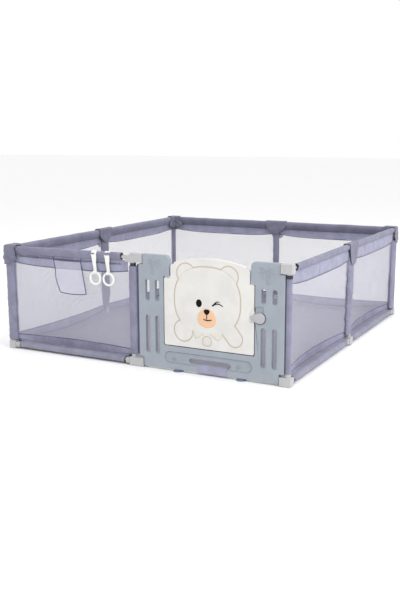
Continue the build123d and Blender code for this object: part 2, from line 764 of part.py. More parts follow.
with BuildPart() as suction_feet:
    for cup_x in CUP_X:
        with BuildSketch(Plane(origin=(cup_x, -HALF_Y, 0), x_dir=(1, 0, 0), z_dir=(0, -1, 0))):
            with BuildLine():
                Polyline(
                    (0, 3.0),
                    (CUP_R - 6.0, 0),
                    (CUP_R, 0),
                    (CUP_R - 4.0, 3.0),
                    (9.0, 7.0),
                    (9.0, PANEL_BOTTOM - FIT),
                    (CUP_STUD_R, PANEL_BOTTOM - FIT),
                    (CUP_STUD_R, CUP_STUD_TOP),
                    (0, CUP_STUD_TOP),
                    close=True,
                )
            make_face()
        revolve(axis=Axis((cup_x, -HALF_Y, 0), (0, 0, 1)))
save(suction_feet, "suction_feet")

TIE_LEFT = 384.0
TIE_RIGHT = 560.0
TIE_THICK = 2.5
TIE_SLACK = 0.5
TIE_HEAD = HAND_SLOT_Z - HAND_SLOT_HEIGHT / 2

with BuildPart() as floor_tie:
    with BuildSketch(Plane.YZ.offset(TIE_LEFT)):
        wide = PANEL_THICK + 2 * TIE_SLACK
        tall = TIE_HEAD - PANEL_BOTTOM + 2 * TIE_SLACK
        with Locations((-HALF_Y, (TIE_HEAD + PANEL_BOTTOM) / 2)):
            RectangleRounded(wide + 2 * TIE_THICK, tall + 2 * TIE_THICK, TIE_THICK)
            Rectangle(wide, tall, mode=Mode.SUBTRACT)
    extrude(amount=TIE_RIGHT - TIE_LEFT)
save(floor_tie, "floor_tie")
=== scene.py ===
import math

import bmesh
import bpy
import numpy as np
from bpy.props import FloatProperty, FloatVectorProperty, PointerProperty
from mathutils import Matrix, Vector


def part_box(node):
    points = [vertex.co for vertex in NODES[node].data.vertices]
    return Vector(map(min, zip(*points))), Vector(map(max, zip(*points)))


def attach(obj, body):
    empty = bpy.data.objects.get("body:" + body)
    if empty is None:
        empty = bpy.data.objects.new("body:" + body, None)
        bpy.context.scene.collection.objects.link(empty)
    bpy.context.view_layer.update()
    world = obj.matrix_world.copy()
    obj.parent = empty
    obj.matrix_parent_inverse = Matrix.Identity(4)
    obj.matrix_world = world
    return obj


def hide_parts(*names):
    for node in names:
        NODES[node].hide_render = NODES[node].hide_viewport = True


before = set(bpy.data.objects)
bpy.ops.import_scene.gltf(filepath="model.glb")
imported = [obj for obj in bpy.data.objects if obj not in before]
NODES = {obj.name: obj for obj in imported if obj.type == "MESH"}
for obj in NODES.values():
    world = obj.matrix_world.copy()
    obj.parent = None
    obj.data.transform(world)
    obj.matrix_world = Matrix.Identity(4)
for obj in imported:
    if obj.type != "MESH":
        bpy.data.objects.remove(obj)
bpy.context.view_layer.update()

bl_info = {
    "name": "Playpen with gate",
    "version": (1, 0, 0),
    "blender": (4, 5, 0),
    "location": "3D View > Sidebar > Playpen",
    "description": "Dresses the playpen's frame in fabric, net and moulded plastic",
    "category": "Object",
}

TAU = math.tau


def node_centre(name):
    low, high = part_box(name)
    return (low + high) / 2


SIDES = {
    "front": ("front_left", "gate_side"),
    "right": ("front_right", "middle_right", "back_right"),
    "back": ("back_right", "middle_back", "back_left"),
    "left": ("back_left", "middle_left", "front_left"),
}
CORNERS = ("front_left", "back_left", "back_right")
MIDDLES = ("middle_left", "middle_back", "middle_right")
GATE_POSTS = ("gate_side", "front_right")
POSTS = {
    name[5:]: np.array(node_centre(name))
    for name in NODES
    if name.startswith("post_") and name != "post_sleeves"
}
RAIL_Z = node_centre("top_rail_left").z
BASE_Z = node_centre("bottom_rail_left").z
DOOR_LOW, DOOR_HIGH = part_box("gate_door")
PANEL_LOW, PANEL_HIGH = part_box("gate_frame")
DOOR_FACE_Y = -1.0125
PANEL_FACE_Y = PANEL_LOW.y


class Bay:
    """The stretch of wall between two neighbouring posts, measured along, inwards and up."""

    slack = {"front": 1.0, "right": 1.0, "back": 0.45, "left": 0.35}

    def __init__(self, first, last, side):
        self.first, self.last, self.side = first, last, side
        self.start = POSTS[first][:2]
        reach = POSTS[last][:2] - self.start
        self.length = float(np.hypot(*reach))
        self.way = reach / self.length
        self.inward = np.array((-self.way[1], self.way[0]))

    def place(self, along, inside, height):
        along, inside, height = np.broadcast_arrays(along, inside, height)
        plan = self.start + along[..., None] * self.way + inside[..., None] * self.inward
        return np.concatenate([plan, height[..., None]], axis=-1)

    def arch(self, along):
        """0 at the posts and 1 half-way between them."""
        share = np.clip(along / self.length, 0, 1)
        return 4 * share * (1 - share)

    def bow(self, along):
        """How strongly the cloth is pulled inwards here."""
        return self.slack[self.side] * self.arch(along)


BAYS = {
    side: [Bay(a, b, side) for a, b in zip(names, names[1:])]
    for side, names in SIDES.items()
}


def ripple(across, up, seed, longest=0.2, shortest=0.03, waves=7):
    """A smooth random swell over two directions, mostly between -1 and 1."""
    draw = np.random.default_rng(seed)
    total = 0
    for step in range(waves):
        length = longest * (shortest / longest) ** (step / (waves - 1))
        turn, phase = draw.uniform(0, TAU, 2)
        total = total + np.sin(TAU * (across * math.cos(turn) + up * math.sin(turn)) / length + phase)
    return total / math.sqrt(waves)


def grid(first, second):
    """Every pair of two rows of values, as two arrays."""
    return np.meshgrid(first, second, indexing="ij")


def full_turn(count):
    """Angles evenly spaced round a circle."""
    return np.linspace(0, TAU, count, endpoint=False)


def gone_along(path):
    """How far along a path each of its points lies."""
    return np.concatenate([[0], np.cumsum(np.linalg.norm(np.diff(path, axis=0), axis=1))])


# Meshes

SAME_POINT = 2e-5  # CAD points nearer to each other than this are one point


def patch(points, ring=False, loop=False, caps=False, inside=None):
    """One surface through rows of points.

    A ring closes each row, a loop joins the last row to the first, and caps close both ends. The faces turn
    away from each row's middle on a ring, and otherwise from the point inside.
    """
    return {
        "points": np.asarray(points, dtype=float),
        "ring": ring,
        "loop": loop,
        "caps": caps,
        "inside": inside,
    }


def walked(points, axis, closed):
    """Each step's distance from the first, along one axis of a patch."""
    if closed:
        points = np.concatenate([points, np.take(points, [0], axis=axis)], axis=axis)
    steps = np.linalg.norm(np.diff(points, axis=axis), axis=-1).mean(axis=1 - axis)
    return np.concatenate([[0], np.cumsum(steps)])


def skin(name, patches):
    """A mesh of several patches, whose UV map gives each point's place on the uncut cloth in metres."""
    verts, faces, flats = [], [], []
    base = 0
    for part in patches:
        points = part["points"]
        rows, cols = points.shape[:2]
        i, j = grid(
            np.arange(rows if part["loop"] else rows - 1), np.arange(cols if part["ring"] else cols - 1)
        )
        down, over = (i + 1) % rows, (j + 1) % cols
        quads = np.stack([i * cols + j, i * cols + over, down * cols + over, down * cols + j], -1)
        quads = quads.reshape(-1, 4)
        corner_rows = np.stack([i, i, i + 1, i + 1], -1).reshape(-1, 4)
        corner_cols = np.stack([j, j + 1, j + 1, j], -1).reshape(-1, 4)
        flat = np.stack(
            [
                walked(points, 0, part["loop"])[corner_rows],
                walked(points, 1, part["ring"])[corner_cols],
            ],
            -1,
        )
        cloud = points.reshape(-1, 3)
        corner = cloud[quads]
        normal = np.cross(corner[:, 2] - corner[:, 0], corner[:, 3] - corner[:, 1])
        middle = corner.mean(axis=1)
        if part["ring"]:
            hearts = points.mean(axis=1)
            heart = (hearts[i] + hearts[down]).reshape(-1, 3) / 2
        else:
            heart = np.array(part["inside"] if part["inside"] is not None else (0, 0, middle[:, 2].mean()))
        if ((middle - heart) * normal).sum() < 0:
            quads, flat = quads[:, ::-1], flat[:, ::-1]
        verts.append(cloud)
        faces.extend((quads + base).tolist())
        flats.append(flat.reshape(-1, 2))
        if part["caps"]:
            first = list(range(base, base + cols))
            last = list(range(base + (rows - 1) * cols, base + rows * cols))
            for rim, toward in ((first, points[0] - points[1]), (last, points[-1] - points[-2])):
                ring_points = cloud[np.array(rim) - base]
                turn = np.cross(ring_points[1] - ring_points[0], ring_points[2] - ring_points[0])
                faces.append(rim if (turn * toward.mean(axis=0)).sum() > 0 else rim[::-1])
                flats.append(np.zeros((cols, 2)))
        base += len(cloud)
    mesh = bpy.data.meshes.new(name)
    mesh.from_pydata(np.concatenate(verts).tolist(), [], faces)
    layer = mesh.uv_layers.new(name="cloth")
    layer.data.foreach_set("uv", np.concatenate(flats).astype("f").ravel())
    mesh.shade_smooth()
    return add_object(name, mesh)


def add_object(name, data):
    made = bpy.data.objects.new(name, data)
    bpy.context.scene.collection.objects.link(made)
    return made


def thicken(made, thickness, offset=0.0):
    wall = made.modifiers.new("Cloth thickness", "SOLIDIFY")
    wall.thickness = thickness
    wall.offset = offset
    return made


def sweep(path, radius, sides=8, loop=False):
    """A round cord of cloth along a path, carried without twist. The radius may change along it."""
    path = np.asarray(path, dtype=float)
    if loop:
        ahead = np.roll(path, -1, axis=0) - np.roll(path, 1, axis=0)
    else:
        ahead = np.gradient(path, axis=0)
    ahead /= np.linalg.norm(ahead, axis=1)[:, None]
    radii = np.broadcast_to(radius, len(path))
    turn = full_turn(sides)
    side = np.array((0.3, 0.2, 1.0)) if abs(ahead[0][2]) < 0.8 else np.array((1.0, 0.3, 0.1))
    rings = []
    for point, way, width in zip(path, ahead, radii):
        side = side - way * side.dot(way)
        side /= np.linalg.norm(side)
        other = np.cross(way, side)
        rings.append(point + width * (np.cos(turn)[:, None] * side + np.sin(turn)[:, None] * other))
    return patch(np.array(rings), ring=True, loop=loop, caps=not loop)


def softened(name, node, edge, segments=3, limit=30):
    """A copy of a moulded CAD node with its sharp edges rounded over."""
    source = NODES[node].data
    mesh = bpy.data.meshes.new(name)
    points = np.empty(len(source.vertices) * 3, dtype="f")
    source.vertices.foreach_get("co", points)
    mesh.from_pydata(points.reshape(-1, 3).tolist(), [], [tuple(face.vertices) for face in source.polygons])
    shape = bmesh.new()
    shape.from_mesh(mesh)
    bmesh.ops.remove_doubles(shape, verts=shape.verts, dist=SAME_POINT)
    bmesh.ops.dissolve_limit(
        shape, angle_limit=math.radians(1), verts=shape.verts, edges=shape.edges
    )
    shape.to_mesh(mesh)
    shape.free()
    mesh.shade_smooth()
    made = add_object(name, mesh)
    round_edges(made, edge, segments, limit)
    return made


def round_edges(made, edge, segments=3, limit=30):
    bevel = made.modifiers.new("Rounded edges", "BEVEL")
    bevel.width = edge
    bevel.segments = segments
    bevel.limit_method = "ANGLE"
    bevel.angle_limit = math.radians(limit)
    bevel.use_clamp_overlap = False
    bevel.harden_normals = True


def plate(name, outline, front, back, edge=0.0):
    """A flat moulded board: its outline in x and z, and where its front and back lie in y."""
    count = len(outline)
    verts = [(x, front, z) for x, z in outline] + [(x, back, z) for x, z in outline]
    faces = [tuple(range(count)), tuple(range(2 * count - 1, count - 1, -1))]
    faces += [(k, k + count, (k + 1) % count + count, (k + 1) % count) for k in range(count)]
    mesh = bpy.data.meshes.new(name)
    mesh.from_pydata(verts, [], faces)
    shape = bmesh.new()
    shape.from_mesh(mesh)
    bmesh.ops.recalc_face_normals(shape, faces=shape.faces)
    shape.to_mesh(mesh)
    shape.free()
    mesh.shade_smooth()
    made = add_object(name, mesh)
    if edge:
        round_edges(made, edge)
    return made


def settle(made, material, body="root", nodes=()):
    """Gives a finished piece its material, its slot, its body and the nodes that it stands for."""
    made.data.materials.clear()
    made.data.materials.append(FINISHES[material])
    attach(made, body)
    if nodes:
        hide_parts(*nodes)
    return made


def repaint(node, material):
    """Gives a carried-over node its finish."""
    mesh = NODES[node].data
    mesh.materials.clear()
    mesh.materials.append(FINISHES[material])


# Finishes


class Painter:
    """Short calls for building one tree of shader nodes."""

    def __init__(self, tree):
        self.tree = tree

    def node(self, kind, **settings):
        made = self.tree.nodes.new(kind)
        for key, value in settings.items():
            setattr(made, key, value)
        return made

    def feed(self, socket, value):
        if isinstance(value, bpy.types.NodeSocket):
            self.tree.links.new(value, socket)
        else:
            socket.default_value = value

    def maths(self, operation, *values):
        made = self.node("ShaderNodeMath", operation=operation)
        for socket, value in zip(made.inputs, values):
            self.feed(socket, value)
        return made.outputs[0]

    def vector(self, operation, first, second):
        made = self.node("ShaderNodeVectorMath", operation=operation)
        self.feed(made.inputs[0], first)
        self.feed(made.inputs[1], second)
        return made.outputs["Value" if operation == "DOT_PRODUCT" else "Vector"]

    def noise(self, place, scale, detail=3.0, rough=0.55):
        made = self.node("ShaderNodeTexNoise")
        self.feed(made.inputs["Vector"], place)
        made.inputs["Scale"].default_value = scale
        made.inputs["Detail"].default_value = detail
        made.inputs["Roughness"].default_value = rough
        return made.outputs["Fac"]

    def spread(self, value, low, high, to_low=0.0, to_high=1.0):
        made = self.node("ShaderNodeMapRange", interpolation_type="SMOOTHSTEP")
        for socket, number in zip(made.inputs[:5], (value, low, high, to_low, to_high)):
            self.feed(socket, number)
        return made.outputs[0]

    def mix(self, share, first, second, blend="MIX"):
        made = self.node("ShaderNodeMix", data_type="RGBA", blend_type=blend)
        self.feed(made.inputs["Factor"], share)
        colours = [socket for socket in made.inputs if socket.type == "RGBA"]
        for socket, value in zip(colours, (first, second)):
            self.feed(socket, value)
        return [socket for socket in made.outputs if socket.type == "RGBA"][0]

    def group(self, name, **values):
        made = self.node("ShaderNodeGroup", node_tree=bpy.data.node_groups[name])
        for key, value in values.items():
            self.feed(made.inputs[key.replace("_", " ")], value)
        return made.outputs


def shader_group(name, inputs, outputs):
    """An empty effect with named inputs and outputs, its painter, and its two ends."""
    tree = bpy.data.node_groups.new(name, "ShaderNodeTree")
    for label, kind, default in inputs:
        socket = tree.interface.new_socket(name=label, in_out="INPUT", socket_type=kind)
        if default is not None:
            socket.default_value = default
    for label, kind in outputs:
        tree.interface.new_socket(name=label, in_out="OUTPUT", socket_type=kind)
    painter = Painter(tree)
    return painter, painter.node("NodeGroupInput").outputs, painter.node("NodeGroupOutput").inputs


FLOAT, VECTOR = "NodeSocketFloat", "NodeSocketVector"


def build_weave():
    """Plain weave: threads over and under, with slubs that make some of them thicker."""
    p, given, out = shader_group(
        "plain weave",
        [("Place", VECTOR, None), ("Pitch", FLOAT, 0.0011)],
        [("Height", FLOAT), ("Shade", FLOAT)],
    )
    split = p.node("ShaderNodeSeparateXYZ")
    p.feed(split.inputs[0], given["Place"])
    turn = p.maths("DIVIDE", math.pi, given["Pitch"])
    warp = p.maths("SINE", p.maths("MULTIPLY", split.outputs["X"], turn))
    weft = p.maths("SINE", p.maths("MULTIPLY", split.outputs["Y"], turn))
    over = p.maths("MULTIPLY", warp, weft)
    slub = p.noise(given["Place"], 140.0, detail=4.0)
    p.feed(out["Height"], p.maths("ADD", p.maths("MULTIPLY", over, 0.5), p.maths("MULTIPLY", slub, 0.8)))
    shade = p.maths("ADD", p.maths("MULTIPLY", over, 0.04), p.maths("MULTIPLY", slub, 0.22))
    p.feed(out["Shade"], p.maths("ADD", shade, 0.89))


def build_net():
    """Warp-knit net: round holes on a three-way lattice."""
    p, given, out = shader_group(
        "open net",
        [("Place", VECTOR, None), ("Pitch", FLOAT, 0.0026), ("Cover", FLOAT, 0.35)],
        [("Thread", FLOAT), ("Height", FLOAT)],
    )
    wave = p.maths("DIVIDE", 4 * math.pi / math.sqrt(3), given["Pitch"])
    total = 0.0
    for turn in (0.0, 120.0, 240.0):
        way = (math.cos(math.radians(turn)), math.sin(math.radians(turn)), 0.0)
        step = p.maths("MULTIPLY", p.vector("DOT_PRODUCT", given["Place"], way), wave)
        total = p.maths("ADD", p.maths("COSINE", step), total)
    # The three waves add up to between -1.5 and 3, and the cover sets where on that scale a hole begins
    edge = p.maths("SUBTRACT", p.maths("MULTIPLY", given["Cover"], 2.4), 1.62)
    top = p.maths("ADD", edge, 0.12)
    p.feed(out["Thread"], p.spread(total, edge, top, 1.0, 0.0))
    p.feed(out["Height"], p.maths("MULTIPLY", total, -0.3))


def build_grain():
    """Fine moulded texture, with wider patches that took the mould a little differently."""
    p, given, out = shader_group(
        "moulded grain",
        [("Grain", FLOAT, 900.0)],
        [("Height", FLOAT), ("Patches", FLOAT)],
    )
    place = p.node("ShaderNodeTexCoord").outputs["Object"]
    fine = p.node("ShaderNodeTexNoise")
    p.feed(fine.inputs["Vector"], place)
    p.feed(fine.inputs["Scale"], given["Grain"])
    fine.inputs["Detail"].default_value = 2.0
    p.feed(out["Height"], fine.outputs["Fac"])
    p.feed(out["Patches"], p.noise(place, 9.0, detail=4.0))


def build_rubbing_and_crease_shade():
    """Edges rubbed brighter, and grime in the creases."""
    p, given, out = shader_group(
        "edge rubbing and crease shade",
        [("Width", FLOAT, 0.06)],
        [("Rubbed", FLOAT), ("Grime and shade", FLOAT)],
    )
    sharp = p.node("ShaderNodeNewGeometry").outputs["Pointiness"]
    place = p.node("ShaderNodeTexCoord").outputs["Object"]
    broken = p.noise(place, 60.0, detail=5.0)
    high = p.maths("ADD", 0.5, given["Width"])
    low = p.maths("SUBTRACT", 0.5, given["Width"])
    p.feed(out["Rubbed"], p.maths("MULTIPLY", p.spread(sharp, 0.51, high), broken))
    p.feed(out["Grime and shade"], p.maths("MULTIPLY", p.spread(sharp, 0.49, low), broken))


def build_dust():
    """Floor dust: more of it lower down, in uneven patches."""
    p, given, out = shader_group(
        "floor dust", [("Height reached", FLOAT, 0.1)], [("Mask", FLOAT)]
    )
    place = p.node("ShaderNodeTexCoord").outputs["Object"]
    split = p.node("ShaderNodeSeparateXYZ")
    p.feed(split.inputs[0], place)
    falling = p.spread(split.outputs["Z"], given["Height reached"], 0.0)
    p.feed(out["Mask"], p.maths("MULTIPLY", falling, p.noise(place, 30.0, detail=5.0)))


FINISHES = {}
CLOTH_DUST = (0.55, 0.54, 0.56, 1.0)
PLASTIC_DUST = (0.6, 0.59, 0.58, 1.0)


def rgba(colour, factor=1.0):
    """A shader's colour, darker or brighter by a factor."""
    return (*(min(channel * factor, 1.0) for channel in colour), 1.0)


def new_finish(name):
    material = bpy.data.materials.new(name)
    material.use_nodes = True
    painter = Painter(material.node_tree)
    shader = material.node_tree.nodes["Principled BSDF"]
    FINISHES[name] = material
    return material, painter, shader


def bump(painter, shader, height, distance, strength=1.0):
    made = painter.node("ShaderNodeBump")
    made.inputs["Distance"].default_value = distance
    made.inputs["Strength"].default_value = strength
    painter.feed(made.inputs["Height"], height)
    painter.feed(shader.inputs["Normal"], made.outputs["Normal"])


def cloth_finish(name, colour, pitch, dusty=True, mottle=0.16, rough=0.86):
    """Woven cloth: threads, a soft mottle where it has creased, and dust near the floor."""
    material, p, shader = new_finish(name)
    place = p.node("ShaderNodeUVMap", uv_map="cloth").outputs["UV"]
    solid = p.node("ShaderNodeTexCoord").outputs["Object"]
    weave = p.group("plain weave", Place=place, Pitch=pitch)
    wide = p.noise(solid, 11.0, detail=6.0, rough=0.62)
    worn = p.spread(wide, 0.3, 0.7, 1.0 - mottle, 1.0 + mottle * 0.6)
    tone = p.maths("MULTIPLY", worn, weave["Shade"])
    painted = p.node("ShaderNodeVectorMath", operation="SCALE")
    p.feed(painted.inputs[0], (*colour,))
    p.feed(painted.inputs["Scale"], tone)
    shown = painted.outputs["Vector"]
    if dusty:
        dust = p.group("floor dust", Height_reached=0.09)
        share = p.maths("MULTIPLY", dust["Mask"], 0.25)
        shown = p.mix(share, shown, CLOTH_DUST)
    p.feed(shader.inputs["Base Color"], shown)
    p.feed(shader.inputs["Roughness"], p.spread(wide, 0.3, 0.7, rough + 0.06, rough - 0.06))
    shader.inputs["Sheen Weight"].default_value = 0.18
    shader.inputs["Sheen Roughness"].default_value = 0.5
    shader.inputs["Specular IOR Level"].default_value = 0.25
    crumple = p.noise(solid, 70.0, detail=5.0)
    height = p.maths("ADD", p.maths("MULTIPLY", crumple, 5.0), weave["Height"])
    bump(p, shader, height, 0.00022, 0.9)
    return material


def net_finish(name, colour, pitch, cover):
    material, p, shader = new_finish(name)
    place = p.node("ShaderNodeUVMap", uv_map="cloth").outputs["UV"]
    net = p.group("open net", Place=place, Pitch=pitch, Cover=cover)
    solid = p.node("ShaderNodeTexCoord").outputs["Object"]
    wide = p.noise(solid, 6.0, detail=4.0)
    p.feed(shader.inputs["Base Color"], p.mix(wide, rgba(colour, 0.9), rgba(colour, 1.08)))
    p.feed(shader.inputs["Alpha"], net["Thread"])
    shader.inputs["Roughness"].default_value = 0.7
    shader.inputs["Sheen Weight"].default_value = 0.1
    bump(p, shader, net["Height"], 0.0002, 0.6)
    return material


def plastic_finish(name, colour, rough=0.42, grain=1100.0, dusty=False, gloss=0.45, grime_and_shade=0.35):
    """Moulded plastic: fine grain, uneven gloss, rubbed edges and a little grime in the creases."""
    material, p, shader = new_finish(name)
    texture = p.group("moulded grain", Grain=grain)
    rubbing_and_shade = p.group("edge rubbing and crease shade", Width=0.06)
    bright = rgba([channel * 1.12 + 0.02 for channel in colour])
    shown = p.mix(p.spread(texture["Patches"], 0.35, 0.65), rgba(colour, 0.93), rgba(colour))
    shown = p.mix(p.maths("MULTIPLY", rubbing_and_shade["Rubbed"], 0.5), shown, bright)
    # Grime and painted shade: darker where the surface folds inwards
    shown = p.mix(p.maths("MULTIPLY", rubbing_and_shade["Grime and shade"], grime_and_shade), shown, rgba(colour, 0.6))
    if dusty:
        dust = p.group("floor dust", Height_reached=0.12)
        shown = p.mix(p.maths("MULTIPLY", dust["Mask"], 0.2), shown, PLASTIC_DUST)
    p.feed(shader.inputs["Base Color"], shown)
    p.feed(shader.inputs["Roughness"], p.spread(texture["Patches"], 0.3, 0.7, rough - 0.05, rough + 0.08))
    shader.inputs["Specular IOR Level"].default_value = gloss
    bump(p, shader, texture["Height"], 0.00003)
    return material


def steel_finish(name, colour, rough):
    material, p, shader = new_finish(name)
    place = p.node("ShaderNodeTexCoord").outputs["Object"]
    stretched = p.node("ShaderNodeMapping")
    p.feed(stretched.inputs["Vector"], place)
    stretched.inputs["Scale"].default_value = (12.0, 12.0, 900.0)
    lines = p.noise(stretched.outputs["Vector"], 1.0, detail=4.0)
    shader.inputs["Metallic"].default_value = 1.0
    shown = p.mix(lines, rgba(colour, 0.85), rgba(colour))
    p.feed(shader.inputs["Base Color"], shown)
    p.feed(shader.inputs["Roughness"], p.spread(lines, 0.3, 0.7, rough - 0.06, rough + 0.08))
    bump(p, shader, lines, 0.00004)
    return material


def webbing_finish(name, colour):
    """Flat webbing with ribs across it."""
    material, p, shader = new_finish(name)
    place = p.node("ShaderNodeUVMap", uv_map="cloth").outputs["UV"]
    weave = p.group("plain weave", Place=place, Pitch=0.0016)
    painted = p.mix(weave["Shade"], rgba(colour, 0.8), rgba(colour))
    p.feed(shader.inputs["Base Color"], painted)
    shader.inputs["Roughness"].default_value = 0.75
    shader.inputs["Sheen Weight"].default_value = 0.1
    bump(p, shader, weave["Height"], 0.0003)
    return material


def printed_finish(name, colour, rough, gloss=0.5):
    """Ink laid on the door, a little glossier than the plastic under it."""
    material, p, shader = new_finish(name)
    shader.inputs["Specular IOR Level"].default_value = gloss
    place = p.node("ShaderNodeTexCoord").outputs["Object"]
    speck = p.noise(place, 220.0, detail=4.0)
    painted = p.mix(speck, rgba(colour, 0.94), rgba(colour))
    p.feed(shader.inputs["Base Color"], painted)
    p.feed(shader.inputs["Roughness"], p.spread(speck, 0.3, 0.7, rough - 0.05, rough + 0.05))
    bump(p, shader, speck, 0.00003)
    return material


# Repeats along a path


def row_tree(name, instance):
    """A tree that sets small pieces along a path, nose to tail."""
    tree = bpy.data.node_groups.new(name, "GeometryNodeTree")
    sizes = {
        "stitch": (("Spacing", 0.007), ("Length", 0.0046), ("Width", 0.0011)),
        "tooth": (("Spacing", 0.0031), ("Length", 0.0016), ("Width", 0.0042)),
    }[instance]
    tree.interface.new_socket(name="Path", in_out="INPUT", socket_type="NodeSocketGeometry")
    for label, default in sizes:
        socket = tree.interface.new_socket(name=label, in_out="INPUT", socket_type=FLOAT)
        socket.default_value = default
    tree.interface.new_socket(name="Finish", in_out="INPUT", socket_type="NodeSocketMaterial")
    tree.interface.new_socket(name="Row", in_out="OUTPUT", socket_type="NodeSocketGeometry")
    new, link = tree.nodes.new, tree.links.new
    given, made = new("NodeGroupInput").outputs, new("NodeGroupOutput").inputs
    curve, even = new("GeometryNodeMeshToCurve"), new("GeometryNodeResampleCurve")
    even.mode = "LENGTH"
    link(given["Path"], curve.inputs["Mesh"])
    link(curve.outputs["Curve"], even.inputs["Curve"])
    link(given["Spacing"], even.inputs["Length"])
    spots = new("GeometryNodeInstanceOnPoints")
    size = new("ShaderNodeCombineXYZ")
    tangent, align = new("GeometryNodeInputTangent"), new("FunctionNodeAlignRotationToVector")
    align.axis = "X"
    link(tangent.outputs[0], align.inputs["Vector"])
    link(even.outputs["Curve"], spots.inputs["Points"])
    link(align.outputs[0], spots.inputs["Rotation"])
    if instance == "stitch":
        shape = new("GeometryNodeMeshIcoSphere")
        shape.inputs["Radius"].default_value = 0.5
        shape.inputs["Subdivisions"].default_value = 1
    else:
        shape = new("GeometryNodeMeshCylinder")
        shape.inputs["Vertices"].default_value = 6
        shape.inputs["Radius"].default_value = 0.5
        shape.inputs["Depth"].default_value = 1.0
    link(shape.outputs["Mesh"], spots.inputs["Instance"])
    for axis, label in zip("XYZ", ("Length", "Width", "Width")):
        link(given[label], size.inputs[axis])
    link(size.outputs[0], spots.inputs["Scale"])
    real, paint = new("GeometryNodeRealizeInstances"), new("GeometryNodeSetMaterial")
    link(spots.outputs["Instances"], real.inputs["Geometry"])
    link(real.outputs["Geometry"], paint.inputs["Geometry"])
    link(given["Finish"], paint.inputs["Material"])
    link(paint.outputs["Geometry"], made["Row"])
    return tree


def row_of(name, tree, paths, material, slot, body="root", **sizes):
    """Runs a tree along several open paths and keeps the result as a plain mesh."""
    verts, edges = [], []
    for path in paths:
        base = len(verts)
        verts.extend(np.asarray(path).tolist())
        edges.extend((base + k, base + k + 1) for k in range(len(path) - 1))
    guide = bpy.data.meshes.new(name)
    guide.from_pydata(verts, edges, [])
    holder = add_object(name + "_path", guide)
    modifier = holder.modifiers.new("Row", "NODES")
    modifier.node_group = tree
    for item in tree.interface.items_tree:
        if item.item_type == "SOCKET" and item.in_out == "INPUT":
            if item.name in sizes:
                modifier[item.identifier] = sizes[item.name]
            elif item.name == "Finish":
                modifier[item.identifier] = FINISHES[material]
    bpy.context.view_layer.update()
    shown = holder.evaluated_get(bpy.context.evaluated_depsgraph_get())
    mesh = bpy.data.meshes.new_from_object(shown)
    bpy.data.objects.remove(holder)
    mesh.shade_smooth()
    return settle(add_object(name, mesh), material, body)


STITCH_PATHS = []


# Top rail: padded roll, band and piping

SPACING = 0.0055  # between the points along a wall
ROLL_END, OPEN_END, PLAIN_END = 0.044, 0.069, 0.082  # from a covered, a bare and the barest post to the roll
OPEN_BAND_END, BAND_END = 0.028, 0.02  # from a bare and a covered post to the band
BAND_HANG, BAND_LIFT = 0.096, 0.024  # the band's foot below the rail, and its rise at the posts
THIN_CLOTH, MIDDLE_CLOTH, THICK_CLOTH = 0.0014, 0.0016, 0.0018
STITCH_OUT = 0.0012  # how far a stitch stands out from the middle of its cloth


def roll_ends(bay):
    """Where the roll starts and stops: inside a cover, or short of a bare gate post."""
    first = PLAIN_END if bay.first == "front_right" else OPEN_END if bay.first in GATE_POSTS else ROLL_END
    last = OPEN_END if bay.last in GATE_POSTS else ROLL_END
    return first, bay.length - last


def band_foot(bay, along):
    """Height of the band's lower edge, lifted near the posts."""
    return RAIL_Z - BAND_HANG + BAND_LIFT * (1 - bay.arch(along)) ** 2


def roll_foot(bay, along):
    """Height of the seam under the roll: the roll gets slimmer towards the gate."""
    if bay.side == "front":
        return RAIL_Z + np.interp(along / bay.length, (0, 0.3, 0.7, 1), (-0.036, -0.033, -0.03, -0.019))
    return RAIL_Z - (0.021 if bay.side == "right" else 0.042) + 0 * along


def roll_head(bay, along):
    lift = 0.007 * (along / bay.length) ** 2 if bay.side == "front" else 0 * along
    return RAIL_Z + 0.0165 + lift


def band_inside(along, share, seed):
    """How far inwards the band stands: a slight outward belly with creases."""
    belly = -0.0018 - 0.0022 * np.sin(math.pi * share)
    pull = 0.0008 * np.sin(TAU * along / 0.031 + 2.5 * ripple(along, 0 * along, seed + 3, 0.4, 0.08))
    return belly + 0.0008 * ripple(along, share * 0.05, seed, 0.16, 0.04) + pull * (1 - share)


def roll_points(bay, line, width, seed):
    """The padded roll's surface: pear-shaped, with gathers along its lower side."""
    along, angle = grid(line, full_turn(40))
    height, side = -np.cos(angle), np.sin(angle)
    swell = 1 + 0.03 * ripple(along, angle * 0.02, seed, 0.3, 0.05)
    low = np.clip(-height - 0.2, 0, 1)
    gather = low * np.sin(TAU * along / 0.013 + 3 * ripple(along, 0 * along, seed + 5, 0.3, 0.05))
    top, foot = roll_head(bay, along), roll_foot(bay, along)
    pear = np.clip((top - foot) / 0.058, 0.3, 1) * 0.5
    inside = width / 2 * 0.9 * side * (1 + pear * height) * swell
    inside += np.sign(side) * 0.0011 * gather
    sag = 0.0008 * ripple(along, 0 * along, seed + 7, 0.35, 0.08)
    return bay.place(along, inside, (top + foot) / 2 + (top - foot) / 2 * height + sag)


